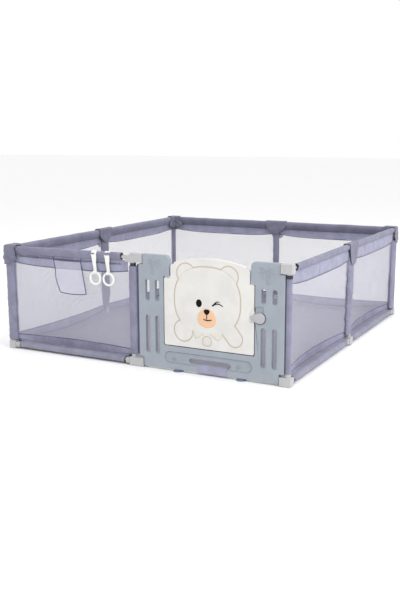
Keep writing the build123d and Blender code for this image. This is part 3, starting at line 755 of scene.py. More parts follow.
def make_rolls(context):
    width = context.scene.playpen_fabric.roll_width
    for number, (side, bays) in enumerate(BAYS.items()):
        rolls, bands, cords, girths, depths = [], [], [], [], []
        for count, bay in enumerate(bays):
            seed = 10 * number + count
            first, last = roll_ends(bay)
            points = roll_points(bay, np.arange(first, last, SPACING), width, seed)
            rolls.append(patch(points, ring=True))
            girths.append(walked(points, 1, True)[-1])
            start, stop = (
                OPEN_BAND_END if name in GATE_POSTS else BAND_END for name in (bay.first, bay.last)
            )
            line = np.arange(start, bay.length - stop, SPACING)
            along, share = grid(line, np.linspace(0, 1, 14))
            inside = band_inside(along, share, seed)
            head, foot = roll_foot(bay, along) + 0.002, band_foot(bay, along)
            bands.append(patch(bay.place(along, inside, head + (foot - head) * share)))
            depths.append((head - foot).mean())
            edge = band_inside(line, np.ones_like(line), seed)
            cords.append(sweep(bay.place(line, edge, band_foot(bay, line) - 0.001), 0.0024))
            lip = np.unique(np.clip(line, first if bay.first in GATE_POSTS else start, last))
            cords.append(sweep(bay.place(lip, -0.0026, roll_foot(bay, lip) + 0.0015), 0.0014))
            for drop in (0.004, 0.0075):
                seam = band_inside(line, drop / 0.05, seed) - STITCH_OUT
                STITCH_PATHS.append(bay.place(line, seam, roll_foot(bay, line) - drop)[::3])
            seam = band_inside(line, 0.9, seed) - STITCH_OUT
            STITCH_PATHS.append(bay.place(line, seam, band_foot(bay, line) + 0.0055)[::3])
        node = f"top_sleeve_{side}"
        # The back roll takes the darker cover cloth: painted shade on the same roll cloth, where its inner
        # side catches the light
        look = "cover cloth" if side == "back" else "roll cloth"
        roll = thicken(skin(f"top_roll_{side}", rolls), THIN_CLOTH)
        settle(roll, look, nodes=[node])
        band = thicken(skin(f"top_band_{side}", bands), MIDDLE_CLOTH)
        settle(band, "band cloth", nodes=[node])
        settle(skin(f"band_piping_{side}", cords), "piping", nodes=[node])


# Net walls

NET_FOOT_Z, NET_FOOT_DIP = 0.09, 0.005  # the net's foot at a post, and how much lower it is in mid-bay
NET_BOW, SEAM_BOW = 0.056, 0.067  # how far in the net's foot and the skirt's seam are pulled in mid-bay
SEAM_Z, SEAM_DIP = 0.066, 0.038  # the skirt's seam at a post, and how much lower it is in mid-bay
NET_END = 0.014


def net_inside(bay, along, share, seed):
    """The wall leans in towards its bowed foot, with a slack ripple."""
    lean = NET_BOW * bay.bow(along) * share ** 1.12 - 0.001
    return lean + 0.0016 * bay.arch(along) * ripple(along, share * 0.45, seed, 0.5, 0.12)


def net_height(bay, along, share):
    top = band_foot(bay, along) + 0.004
    return top + (NET_FOOT_Z - NET_FOOT_DIP * bay.arch(along) - top) * share


def make_net_walls(context):
    for number, (side, bays) in enumerate(BAYS.items()):
        walls = []
        for count, bay in enumerate(bays):
            line = np.linspace(NET_END, bay.length - NET_END, 90)
            along, share = grid(line, np.linspace(0, 1, 36))
            inside = net_inside(bay, along, share, 60 + 10 * number + count)
            walls.append(patch(bay.place(along, inside, net_height(bay, along, share))))
        # The back and left walls get a lighter copy of the same net: painted light, for the light that shines
        # through them from behind
        look = "far wall net with painted light" if side in ("back", "left") else "wall net"
        wall = settle(skin(f"net_wall_{side}", walls), look, nodes=[f"mesh_wall_{side}"])


# Skirts and floor sheet

SKIRT_ROLL_R = 0.0168
WRAP_START, WRAP_END = 58.0, 326.0  # where the skirt meets the tube and where it ends, in degrees round it


def round_tube(degrees):
    """The offset and height of a point of the skirt where it goes round the bottom tube."""
    angle = np.radians(degrees)
    return np.array((SKIRT_ROLL_R * math.cos(angle), BASE_Z + SKIRT_ROLL_R * math.sin(angle)))


def skirt_profile(bay, along):
    """The skirt's section across a bay: lens-shaped band, seam, strip, and the turn round the tube."""
    bow, arch = bay.bow(along), bay.arch(along)
    piping = np.stack([NET_BOW * bow, NET_FOOT_Z - NET_FOOT_DIP * arch], -1)
    seam = np.stack([SEAM_BOW * bow, SEAM_Z - SEAM_DIP * arch], -1)
    joint = round_tube(WRAP_START)
    lens = [piping + (seam - piping) * t for t in np.linspace(0, 1, 9)]
    strip = [seam + (joint - seam) * t for t in np.linspace(0, 1, 15)[1:]]
    wrap = [
        np.broadcast_to(round_tube(degrees), seam.shape)
        for degrees in np.linspace(WRAP_START, WRAP_END, 20)[1:]
    ]
    return np.stack(lens + strip + wrap, axis=1), len(lens), len(strip)


def make_skirts(context):
    for number, (side, bays) in enumerate(BAYS.items()):
        lenses, strips, cords, widths = [], [], [], []
        for count, bay in enumerate(bays):
            seed = 200 + 10 * number + count
            line = np.arange(0, 1.0001, SPACING / bay.length)
            rough, lens, strip = skirt_profile(bay, line * bay.length)
            cols = rough.shape[1]
            reach = np.interp(np.arange(cols), (0, lens, lens + strip, cols), (0.018, 0.03, 0.056, 0.066))
            along = reach + line[:, None] * (bay.length - 2 * reach)
            section = skirt_profile(bay, along.reshape(-1))[0].reshape(len(line), cols, cols, 2)
            section = section[:, np.arange(cols), np.arange(cols)]
            spans = np.linalg.norm(np.diff(section, axis=1), axis=-1)
            widths.append((spans[:, :lens].sum(axis=1).mean(), spans[:, lens:].sum(axis=1).mean()))
            step = np.gradient(section, axis=1)
            step /= np.linalg.norm(step, axis=-1)[..., None] + 1e-9
            lift = np.stack([-step[..., 1], step[..., 0]], -1)
            share = np.arange(cols)
            in_lens = np.clip(1 - np.abs(share - lens / 2) / (lens / 2), 0, 1)
            in_strip = np.clip(1 - np.abs(share - lens - strip * 0.55) / (strip * 0.75), 0, 1)
            in_wrap = np.clip((share - lens - strip) / 5, 0, 1)
            bow = bay.arch(along)
            slant = along + 0.0035 * share
            pleat = np.sin(TAU * slant / 0.034 + 2.2 * ripple(along, share * 0.004, seed, 0.3, 0.06))
            gather = np.sin(TAU * along / 0.015 + 3.0 * ripple(along, share * 0.003, seed + 1, 0.25, 0.05))
            swell = 0.0018 * ripple(along, share * 0.006, seed + 2, 0.25, 0.05)
            strength = 0.5 + 0.5 * ripple(along, 0 * along, seed + 3, 0.5, 0.12, 4)
            height = in_lens * bow * (0.003 + 0.0042 * pleat * strength)
            height = height + in_strip * (0.0015 * gather * (0.35 + bow * strength) + swell)
            slump = ripple(along, share * 0.01, seed + 4, 0.2, 0.05)
            height = height + in_wrap * (0.0005 * gather + 0.0008 * slump)
            shaped = section + lift * height[..., None]
            points = bay.place(along, shaped[..., 0], np.maximum(shaped[..., 1], 0.003))
            lenses.append(patch(points[:, : lens + 1], inside=bay_heart(bay)))
            strips.append(patch(points[:, lens:], inside=bay_heart(bay)))
            cords.append(sweep(points[:, 0], 0.0026))
            cords.append(sweep(points[:, lens], 0.0019))
            STITCH_PATHS.append(points[::3, 1] + lift_out(bay, 0.001))
        node = f"skirt_{side}"
        upper = thicken(skin(f"skirt_band_{side}", lenses), MIDDLE_CLOTH)
        settle(upper, "skirt band cloth", nodes=[node])
        lower = thicken(skin(f"skirt_cloth_{side}", strips), MIDDLE_CLOTH)
        settle(lower, "skirt cloth", nodes=[node])
        settle(skin(f"skirt_piping_{side}", cords), "piping", nodes=[node])


def bay_heart(bay):
    """A point well inside the pen, level with the bottom tube, that a skirt faces away from."""
    return tuple(bay.place(np.array(bay.length / 2), np.array(0.3), np.array(-0.25)))


def lift_out(bay, amount):
    """A small step outwards and up, which lays a stitch on the cloth."""
    return np.array((*(-bay.inward * amount), amount * 0.5))


def make_floor(context):
    """One sheet laid on the floor, whose edges rise to the skirts' seams."""
    across, deep = 121, 131
    share_x, share_y = grid(np.linspace(0, 1, across), np.linspace(0, 1, deep))
    left, right = POSTS["back_left"][0], POSTS["back_right"][0]
    front, back = POSTS["front_left"][1], POSTS["back_left"][1]
    x = left + (right - left) * share_x
    y = front + (back - front) * share_y

    def edge(side, along):
        """How far in a side's seam lies, and how high, at a distance along the side."""
        inside, height = np.full(along.shape, 0.03), np.full(along.shape, 0.006)
        base = 0.0
        for bay in BAYS[side]:
            there = (along >= base) & (along <= base + bay.length)
            inside = np.where(there, SEAM_BOW * bay.bow(along - base) + 0.002, inside)
            height = np.where(there, 0.064 - SEAM_DIP * bay.arch(along - base), height)
            base += bay.length
        return inside, height

    edges = {
        "front": (edge("front", x - left), y - front),
        "right": (edge("right", y - front), right - x),
        "back": (edge("back", right - x), back - y),
        "left": (edge("left", back - y), x - left),
    }
    half_x, half_y = (right - left) / 2, (back - front) / 2
    push_x = edges["left"][0][0] * (1 - share_x) - edges["right"][0][0] * share_x
    push_y = edges["front"][0][0] * (1 - share_y) - edges["back"][0][0] * share_y
    height = np.full(x.shape, 0.0032) + 0.0008 * (1 + ripple(x, y, 300, 0.6, 0.1))
    for (inside, rise), distance in edges.values():
        fall = np.exp(-distance / 0.028)
        height = np.maximum(height, 0.004 + (rise - 0.004) * fall)
    to_edge = np.minimum(half_x - np.abs(x), half_y - np.abs(y))
    height += 0.0012 * np.abs(ripple(x, y, 301, 0.3, 0.06)) * np.exp(-to_edge / 0.12)
    points = np.stack([x + push_x, y + push_y, height], -1)
    sheet = thicken(skin("floor_cloth", [patch(points, inside=(0, 0, -2))]), THIN_CLOTH)
    settle(sheet, "floor cloth", nodes=["floor_sheet"])


# Post sleeves


def arms_of(name):
    """The ways in which the walls leave a post."""
    ways = []
    for bays in BAYS.values():
        for bay in bays:
            if bay.first == name:
                ways.append(bay.way)
            if bay.last == name:
                ways.append(-bay.way)
    return ways


# Each sleeve's reach to the left, right, front and back of its post, and the heights of its foot and head
POST_CLOTH = {
    "front_left": (0.031, 0.031, 0.019, 0.030, 0.056, 0.55),
    "back_left": (0.018, 0.0165, 0.0165, 0.018, 0.056, 0.55),
    "back_right": (0.022, 0.0185, 0.062, 0.018, 0.056, 0.55),
    "middle_left": (0.0165, 0.0165, 0.034, 0.048, 0.071, 0.574),
    "middle_back": (0.024, 0.022, 0.0165, 0.0165, 0.071, 0.574),
    "middle_right": (0.0175, 0.0175, 0.05, 0.046, 0.071, 0.574),
    "gate_side": (0.024, 0.027, 0.0165, 0.019, 0.071, 0.572),
    "front_right": (0.0135, 0.0135, 0.0145, 0.02, 0.071, 0.572),
}


CREASE_DEPTH = {"front_right": 0.0004, "middle_left": 0.0018, "middle_back": 0.0018, "middle_right": 0.0028}
USUAL_CREASE_DEPTH = 0.0011


def make_post_sleeves(context):
    """A sleeve sewn round each post, drawn out flat towards the net on each side of it."""
    cords = []
    for number, (name, reaches) in enumerate(POST_CLOTH.items()):
        seed = 400 + 10 * number
        left, right, front, back, foot, head = reaches
        post = POSTS[name]
        turn = full_turn(64)
        height, angle = grid(np.linspace(foot, head, 110), turn)
        cos, sin = np.cos(angle), np.sin(angle)
        wide = np.where(cos < 0, left, right)
        deep = np.where(sin < 0, front, back)
        power = 2.3  # above 2, which gives a rounded rectangle
        reach = ((np.abs(cos) / wide) ** power + (np.abs(sin) / deep) ** power) ** (-1 / power)
        loose = np.clip((reach - 0.0165) / 0.02, 0.1, 1)
        slump = ripple(height, 0 * height, seed + 2, 0.3, 0.05)
        crease = np.sin(3 * angle + 7 * ripple(height, 0 * height, seed + 3, 0.5, 0.12, 4))
        waver = 3 * ripple(height, angle * 0.01, seed + 4, 0.2, 0.05)
        wrinkle = np.sin(TAU * (height + 0.3 * reach * cos) / 0.03 + waver)
        depth = CREASE_DEPTH.get(name, USUAL_CREASE_DEPTH)
        reach = reach + loose * (depth * crease + 0.8 * depth * wrinkle + 1.4 * depth * slump)
        share = (height - foot) / (head - foot)
        narrow = 1 - 0.22 * np.exp(-((share - 0.04) / 0.1) ** 2) * (name in MIDDLES)
        lean = 0.016 * (1 - share) if name == "middle_right" else 0 * share
        x = post[0] + reach * narrow * cos
        y = post[1] + reach * narrow * sin - lean
        points = np.stack([x, y, height], -1)
        sleeve = thicken(skin(f"post_sleeve_{name}", [patch(points, ring=True)]), THIN_CLOTH)
        settle(sleeve, "post cloth", nodes=["post_sleeves"])
        for way in arms_of(name):
            toward = int(round(math.atan2(way[1], way[0]) / TAU * len(turn))) % len(turn)
            cords.append(sweep(points[::2, toward], 0.0017, sides=6))
    # Two thick dark cords run down the gate posts, right beside the gate panel
    for name, x, radius in (
        ("gate_side", PANEL_LOW.x - 0.0078, 0.007),
        ("front_right", PANEL_HIGH.x + 0.0026, 0.0036),
    ):
        line = [(x, POSTS[name][1], z) for z in np.linspace(0.071, 0.585, 30)]
        cords.append(sweep(line, radius, sides=12))
    settle(skin("post_seams", cords), "piping", nodes=["post_sleeves"])


# Covers on the corners and middles of the top rail


def smooth_rows(points, passes):
    """Rounds a patch off along its rows, holding the first and last."""
    for _ in range(passes):
        middle = (points[:-2] + 2 * points[1:-1] + points[2:]) / 4
        points = np.concatenate([points[:1], middle, points[-1:]])
    return points


def over_rail(share, outer_half, inner_half, top, outer_foot, inner_foot):
    """Outward offset and height of a cover's section: up the outside, over the rail and down the inside."""
    crown, rise = 0.5, 0.02
    turn = np.clip((share - 0.32) / 0.36, 0, 1) * math.pi
    shoulder = top - rise
    half = np.where(turn < math.pi / 2, outer_half, inner_half)
    offset = half * np.sign(np.cos(turn)) * np.abs(np.cos(turn)) ** crown
    height = shoulder + rise * np.abs(np.sin(turn)) ** crown
    height = np.where(share < 0.32, outer_foot + (shoulder - outer_foot) * share / 0.32, height)
    height = np.where(share > 0.68, shoulder + (inner_foot - shoulder) * (share - 0.68) / 0.32, height)
    return offset, height


def border(points):
    """The points round a patch's four edges."""
    return np.concatenate([points[:, 0], points[-1, 1:], points[-2::-1, -1], points[0, -2:0:-1]])


def make_corner_covers(context):
    top = RAIL_Z + 0.0235
    covers = []
    for number, name in enumerate(CORNERS):
        seed = 500 + 10 * number
        post = POSTS[name][:2]
        ways = arms_of(name)
        outs = np.array([-ways[1], -ways[0]])
        reach_to, share = grid(np.linspace(-1, 1, 101), np.linspace(0, 1, 72))
        size = np.abs(reach_to)
        outer_half = 0.029 if name == "front_left" else 0.0225
        outer_foot = RAIL_Z - 0.094 + 0.034 * size ** 2
        inner_foot = RAIL_Z - 0.066 + 0.02 * size ** 2
        offset, height = over_rail(share, outer_half, 0.0225, top, outer_foot, inner_foot)
        reach = np.interp(share, (0, 0.3, 0.5, 0.7, 1), (0.066, 0.05, 0.056, 0.078, 0.094))
        reach = reach + 0.002 * ripple(share * 0.1, reach_to * 0.02, seed, 0.1, 0.03)
        along = size * (reach + offset) - offset
        first = (reach_to < 0)[..., None]
        plan = along[..., None] * np.where(first, ways[0], ways[1])
        plan = plan + offset[..., None] * np.where(first, outs[0], outs[1])
        points = smooth_rows(np.concatenate([post + plan, height[..., None]], -1), 14)
        away = np.sign(offset)[..., None] * np.where(first, outs[0], outs[1])
        away = smooth_rows(np.concatenate([away, 0 * height[..., None]], -1), 20)
        away /= np.linalg.norm(away, axis=-1)[..., None] + 1e-9
        waver = 0.8 * ripple(along, height, seed + 1, 0.2, 0.08)
        fold = np.sin(TAU * (0.6 * along + height - RAIL_Z) / 0.043 + waver)
        flank = np.clip(np.abs(share - 0.5) * 4 - 0.35, 0, 1)
        puff = flank * (0.0022 * fold * np.abs(fold) + 0.0005 * ripple(along, height, seed + 2, 0.09, 0.03))
        puff = puff + 0.004 * np.exp(-(((height - RAIL_Z + 0.055) / 0.022) ** 2)) * (share < 0.5)
        points = points + away * puff[..., None]
        covers.append((name, points))
        inside = (*post, RAIL_Z - 0.02)
        cap = thicken(skin(f"corner_cover_{name}", [patch(points, inside=inside)]), THICK_CLOTH)
        settle(cap, "cover cloth", nodes=["corner_covers"])
    finish_cover_edges("corner_cover", covers, "corner_covers")


def make_middle_covers(context):
    top = RAIL_Z + 0.022
    covers = []
    for number, name in enumerate(MIDDLES):
        seed = 600 + 10 * number
        post = POSTS[name][:2]
        way = arms_of(name)[1]
        out = np.array((way[1], -way[0]))
        across, share = grid(np.linspace(-1, 1, 61), np.linspace(0, 1, 72))
        outer_foot = RAIL_Z - 0.113 + 0.012 * np.abs(across) ** 3
        inner_foot = RAIL_Z - 0.076 + 0.022 * across ** 2
        offset, height = over_rail(share, 0.0215, 0.021, top, outer_foot, inner_foot)
        half_widths = (0.04, 0.05, 0.072, 0.0765, 0.0765, 0.073, 0.062, 0.042)
        along = across * np.interp(share, (0, 0.06, 0.3, 0.5, 0.72, 0.84, 0.93, 1), half_widths)
        puff = 0.0009 * ripple(along, height, seed, 0.12, 0.04)
        belly = 0.0035 * np.exp(-(((height - RAIL_Z + 0.05) / 0.03) ** 2)) * (1 - across ** 2)
        offset = offset + np.sign(offset) * (puff + belly) * np.clip(np.abs(share - 0.5) * 4, 0.2, 1)
        plan = along[..., None] * way + offset[..., None] * out
        points = np.concatenate([post + plan, height[..., None]], -1)
        covers.append((name, points))
        inside = (*post, RAIL_Z - 0.02)
        saddle = thicken(skin(f"middle_cover_{name}", [patch(points, inside=inside)]), THICK_CLOTH)
        settle(saddle, "cover cloth", nodes=["middle_covers"])
    finish_cover_edges("middle_cover", covers, "middle_covers")


def finish_cover_edges(kind, covers, node):
    """A rolled hem round each cover, and a stitch line just inside it."""
    hems = [sweep(border(points)[::2], 0.0021, sides=8, loop=True) for _, points in covers]
    settle(skin(f"{kind}_hems", hems), "cover cloth", nodes=[node])
    for _, points in covers:
        inset = points[3:-3, 3:-3]
        middle = inset.reshape(-1, 3).mean(axis=0)
        line = border(inset)[::3]
        away = line - middle
        away[:, 2] = 0
        away /= np.linalg.norm(away, axis=1)[:, None] + 1e-9
        STITCH_PATHS.append(line + away * 0.0014)


# Pocket, zip and pull rings on the front-left bay


def quad_point(corners, u, v):
    """A point of a four-cornered sheet, at the shares u across it and v up it."""
    low = corners[0][None] * (1 - u)[:, None] + corners[1][None] * u[:, None]
    high = corners[3][None] * (1 - u)[:, None] + corners[2][None] * u[:, None]
    return low * (1 - v)[:, None] + high * v[:, None]


def make_pocket(context):
    """A net pocket with bound edges, bellied out from the wall, and open at its top."""
    low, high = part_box("mesh_pocket")
    corners = np.array(((low.x + 0.038, low.z), (high.x, low.z), (high.x - 0.033, high.z), (low.x, high.z)))
    u, v = grid(np.linspace(0, 1, 41), np.linspace(0, 1, 41))
    flat = quad_point(corners, u.ravel(), v.ravel()).reshape(41, 41, 2)
    round_foot = 0.004 * np.exp(-((u / 0.06) ** 2)) * np.exp(-((v / 0.06) ** 2))
    round_foot = round_foot - 0.009 * np.exp(-(((v - 0.4) / 0.22) ** 2)) * (1 - u) ** 2
    droop = 0.006 * np.sin(math.pi * u) * (1 - v) ** 2
    belly = 0.0075 * np.sin(math.pi * np.clip(u, 0.02, 0.98)) ** 0.6 * (0.35 + 0.65 * v) ** 0.7
    back = high.y - 0.0005
    y = back - 0.0015 - belly - 0.0006 * ripple(flat[..., 0], flat[..., 1], 700, 0.12, 0.03)
    y = np.maximum(y, low.y)
    points = np.stack([flat[..., 0] + round_foot, y, flat[..., 1] - droop], -1)
    net = skin("pocket_net", [patch(points, inside=(low.x, 0, low.z))])
    settle(net, "pocket net", nodes=["mesh_pocket"])
    sides = np.concatenate([points[0, ::-1], points[1:, 0], points[-1, 1:]])
    mouth = points[:, -1]
    ties = [
        sweep([(x, y, z) for z in np.linspace(high.z, high.z + 0.018, 5)], 0.0024)
        for x, y, z in (points[0, -1], points[-1, -1])
    ]
    binding = skin("pocket_binding", [sweep(sides, 0.0027), sweep(mouth, 0.0022), *ties])
    settle(binding, "piping", nodes=["mesh_pocket"])


def make_zip(context):
    low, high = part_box("zip_tape")
    line = np.linspace(low.x, high.x, 150)
    middle = (low.z + high.z) / 2
    rows, up = grid(line, np.linspace(-0.0075, 0.0075, 9))
    wave = 0.0007 * ripple(rows, up, 720, 0.3, 0.05)
    y = low.y - 0.0017 + wave + 0.0004 * np.abs(up) / 0.0075
    tape = thicken(skin("zip_cloth", [patch(np.stack([rows, y, middle + up], -1))]), 0.0008)
    settle(tape, "zip tape", nodes=["zip_tape"])
    path = np.stack([line, y[:, 4] - 0.0012, np.full_like(line, middle)], -1)
    row_of("zip_teeth", row_tree("zip teeth", "tooth"), [path], "zip nylon", "zip_dark")
    slider = softened("zip_pull", "zip_slider", 0.0008, 2)
    settle(slider, "dark plastic", "slider", ["zip_slider"])


def ribbon(path, widths, centres):
    """Webbing that follows a path in y and z, with its width along x."""
    across = np.linspace(-0.5, 0.5, 9)
    crown = 0.0004 * (1 - (2 * across) ** 2)
    points = np.empty((len(path), len(across), 3))
    ahead = np.gradient(path, axis=0)
    ahead /= np.linalg.norm(ahead, axis=1)[:, None]
    points[..., 0] = centres[:, None] + widths[:, None] * across
    points[..., 1] = path[:, :1] - ahead[:, 1:] * crown
    points[..., 2] = path[:, 1:] + ahead[:, :1] * crown
    return points


def make_pull_rings(context):
    shift = 0.009
    for hand in ("left", "right"):
        node = f"pull_strap_{hand}"
        low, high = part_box(node)
        ring_low, ring_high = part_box(f"pull_ring_{hand}")
        bar = 0.0055
        x = (low.x + high.x) / 2
        post_y = POSTS["gate_side"][1]
        leg_y = (ring_low.y + ring_high.y) / 2
        pivot = ring_high.z - bar
        hook = post_y - leg_y
        rise = 0.006
        back = [(post_y + hook, RAIL_Z - 0.008 + 0.008 * t) for t in np.linspace(0, 1, 4)[:-1]]
        over = [
            (post_y + hook * math.cos(a), RAIL_Z + (hook + rise) * math.sin(a))
            for a in np.linspace(0, math.pi, 22)
        ]
        fold = 0.0092
        foot = pivot + fold
        leg = [(leg_y, RAIL_Z - (RAIL_Z - foot) * t) for t in np.linspace(0, 1, 34)[1:]]
        loop = [
            (leg_y - fold * math.sin(a), pivot + fold * math.cos(a)) for a in np.linspace(0, TAU, 26)[1:-1]
        ]
        path = np.array(back + over + leg + loop)
        gone = gone_along(path)
        start = gone[len(back) + len(over)]
        drop = np.clip((gone - start) / 0.085, 0, 1)
        widths = np.interp(gone, (0, start, start + 0.06, gone[-1]), (0.034, 0.034, 0.021, 0.0195))
        centres = x + shift * drop + 0.0012 * np.sin(drop * 9) * (1 - drop)
        points = ribbon(path, widths, centres)
        inside = (x, post_y, RAIL_Z - 0.03)
        strap = thicken(skin(f"pull_webbing_{hand}", [patch(points, inside=inside)]), THICK_CLOTH)
        settle(strap, "webbing", f"strap_{hand}", [node])
        box_low, box_high = pivot + 0.014, pivot + 0.03
        front, middle = leg_y - 0.0019, x + shift * 0.9
        tall, broad = np.linspace(box_low, box_high, 5), np.linspace(middle - 0.007, middle + 0.007, 5)
        lines = [
            [(middle - 0.007, front, z) for z in tall],
            [(middle + 0.007, front, z) for z in tall],
            [(t, front, box_low) for t in broad],
            [(t, front, box_high) for t in broad],
        ]
        tree = bpy.data.node_groups["stitch row"]
        row_of(
            f"strap_stitches_{hand}", tree, lines, "webbing thread", "strap_webbing", f"strap_{hand}",
            Spacing=0.0034, Length=0.0026, Width=0.0008,
        )
        radius = (ring_high.z - ring_low.z) / 2 - bar + 0.002
        turn = full_turn(64)
        hoop = [
            (x + shift + radius * math.sin(a), leg_y, pivot - radius + radius * math.cos(a)) for a in turn
        ]
        ring = skin(f"pull_hoop_{hand}", [sweep(hoop, bar + 0.0006, sides=16, loop=True)])
        settle(ring, "ring plastic", f"ring_{hand}", [f"pull_ring_{hand}"])


# Tubes and their fittings


def make_tubes(context):
    for name in NODES:
        if name.startswith(("top_rail", "bottom_rail", "post_")) and name != "post_sleeves":
            repaint(name, "tube steel")
        if name.startswith("hinge_pin"):
            repaint(name, "pin steel")


def moulding(name, boxes, necks, edge):
    """One moulded fitting built of blocks and round necks, with rounded edges."""
    verts, faces = [], []
    for low, high in boxes:
        base = len(verts)
        verts += [(x, y, z) for x in (low[0], high[0]) for y in (low[1], high[1]) for z in (low[2], high[2])]
        sides = ((0, 1, 3, 2), (4, 6, 7, 5), (0, 4, 5, 1), (2, 3, 7, 6), (0, 2, 6, 4), (1, 5, 7, 3))
        faces += [tuple(base + k for k in side) for side in sides]
    for centre, radius, low, high in necks:
        base, count = len(verts), 32
        for z in (low, high):
            verts += [(x, y, z) for x, y in arc(centre, radius, 0, TAU * (1 - 1 / count), count)]
        faces.append(tuple(base + k for k in range(count))[::-1])
        faces.append(tuple(base + count + k for k in range(count)))
        for k in range(count):
            after = (k + 1) % count
            faces.append((base + k, base + after, base + count + after, base + count + k))
    mesh = bpy.data.meshes.new(name)
    mesh.from_pydata(verts, [], faces)
    mesh.shade_smooth()
    made = add_object(name, mesh)
    round_edges(made, edge)
    return made


BLOCK_HALF, ARM_HALF, NECK_RADIUS = 0.022, 0.016, 0.0155
ARM_REACH, GATE_ARM_INSET = 0.052, 0.025
GATE_ARMS = {
    "gate_side": (1, PANEL_LOW.x + GATE_ARM_INSET),
    "front_right": (-1, PANEL_HIGH.x - GATE_ARM_INSET),
}


def arm_box(post, way, height, start, stop, half, low, high):
    """A block that runs from a post along one way."""
    near, far = post + way * start, post + way * stop
    side = np.abs((way[1], way[0])) * half
    low_x, low_y = np.minimum(near, far) - side
    high_x, high_y = np.maximum(near, far) + side
    return (low_x, low_y, height + low), (high_x, high_y, height + high)


def make_fitting(place, level):
    """One connector: a block on its post, an arm along each rail, and a round neck on the post."""
    post = POSTS[place][:2]
    at_top = level == "top"
    rail = RAIL_Z if at_top else BASE_Z
    low, high = (-0.026, 0.0265) if at_top else (-BASE_Z + 0.0004, 0.0245)
    stepped = at_top and place == "gate_side"
    corner = (post[0] - 0.012, post[1] - 0.02) if stepped else tuple(post - BLOCK_HALF)
    boxes = [((*corner, rail + low), (*(post + BLOCK_HALF), rail + high))]
    for way in arms_of(place):
        if stepped:
            boxes.append(arm_box(post, way, rail, 0.0, 0.045, 0.0195, low + 0.0006, 0.0105))
        elif at_top:
            boxes.append(arm_box(post, way, rail, 0.01, 0.046, ARM_HALF, -0.0255, -0.007))
            boxes.append(arm_box(post, way, rail, 0.01, 0.028, ARM_HALF + 0.002, -0.013, 0.0255))
        else:
            boxes.append(arm_box(post, way, rail, 0.01, ARM_REACH, ARM_HALF, -0.0155, 0.016))
    kind = "elbow"
    if place in GATE_ARMS:
        kind = "gate_tee"
        turn, stop = GATE_ARMS[place]
        way, reach, half = np.array((turn, 0.0)), abs(stop - post[0]), BLOCK_HALF - 0.0012
        boxes.append(arm_box(post, way, rail, 0.01, reach, half, low + 0.0012, high - 0.0012))
    neck_low, neck_high = (rail - 0.044, rail) if at_top else (rail, rail + 0.042)
    neck = (tuple(post), NECK_RADIUS, neck_low, neck_high)
    made = moulding(f"{level}_fitting_{place}", boxes, [neck], 0.0028)
    node = f"{level}_middle_tees" if place in MIDDLES else f"{level}_{kind}_{place}"
    settle(made, "connector plastic", nodes=[node])


def make_connectors(context):
    for name in NODES:
        if name.startswith("top_") and ("elbow" in name or "middle_tees" in name):
            repaint(name, "connector plastic")
    for place in (*CORNERS, *MIDDLES, *GATE_POSTS):
        for level in ("bottom", "top") if place in GATE_ARMS else ("bottom",):
            make_fitting(place, level)
    # Dark rings round the gate posts, just below their top fittings
    dark_rings = [
        (tuple(POSTS[place][:2]), NECK_RADIUS + 0.0014, RAIL_Z - 0.05, RAIL_Z - 0.031)
        for place in GATE_POSTS
    ]
    settle(moulding("gate_post_dark_rings", [], dark_rings, 0.001), "dark plastic")


# Gate


def make_gate_frame(context):
    looks = context.scene.playpen_gate
    made = softened("gate_moulding", "gate_frame", looks.edge_radius, 3)
    settle(made, "gate plastic", nodes=["gate_frame"])


def frond(start, angle, length, width):
    """One leaf blade: a path in x and z that droops, and its width along it."""
    t = np.linspace(0, 1, 12)
    bend = angle - 1.5 * t ** 1.4 * (1 if math.cos(angle) >= 0 else -1)
    step = length / len(t)
    x = start[0] + np.cumsum(np.cos(bend)) * step
    z = start[1] + np.cumsum(np.sin(bend)) * step
    return np.stack([x, z], -1), width * np.sin(math.pi * (0.08 + 0.86 * t)) ** 0.7


def pressed(part, y, share):
    """Flattens a cord against a face at y, so that it stands out as a low relief."""
    part["points"][..., 1] = y + (part["points"][..., 1] - y) * share
    return part


def make_gap_shade(context):
    """Dark lips in the gaps round the door and beside the fittings."""
    y = PANEL_FACE_Y + 0.005
    right, foot = DOOR_HIGH.x + 0.0021, DOOR_LOW.z - 0.0021
    lower = [(x, y, foot) for x in np.linspace(DOOR_LOW.x + 0.03, right - 0.008, 40)]
    turn = [(right - 0.008 * (1 - t), y, foot + 0.008 * t * t) for t in np.linspace(0.2, 1, 5)]
    side = [(right, y, z) for z in np.linspace(foot + 0.01, 0.318, 20)]
    upper = [(right, y, z) for z in np.linspace(0.384, 0.52, 12)]
    gaps = [sweep(lower + turn + side, 0.0019), sweep(upper, 0.0019)]
    # Painted shade in the gaps between the fittings' gate arms and the panel
    inset = GATE_ARM_INSET + 0.0016
    for x in (PANEL_LOW.x + inset, PANEL_HIGH.x - inset):
        for low, high in ((0.004, 0.06), (RAIL_Z - 0.026, RAIL_Z + 0.024)):
            gaps.append(sweep([(x, y, z) for z in np.linspace(low, high, 12)], 0.0016))
    settle(skin("gate_gap_shade_strips", gaps), "dark plastic")


# Radius and height of a suction cup's section, from its stem down to its rim
CUP_SECTION = (
    (0.012, 0.0135), (0.013, 0.0095), (0.019, 0.0075), (0.026, 0.004),
    (0.0295, 0.0012), (0.0297, 0.0002), (0.024, 0.0004),
)


def make_feet(context):
    """Two flared suction cups under the gate."""
    low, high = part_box("suction_feet")
    middle = (low.y + high.y) / 2
    half = (high.y - low.y) / 2
    turn = full_turn(40)
    cups = []
    for x in (low.x + half, high.x - half):
        rows = [
            np.stack([x + radius * np.cos(turn), middle + radius * np.sin(turn), np.full(40, z)], -1)
            for radius, z in CUP_SECTION
        ]
        cups.append(patch(np.array(rows), ring=True, caps=True))
    settle(skin("suction_cups", cups), "foot rubber", nodes=["suction_feet"])


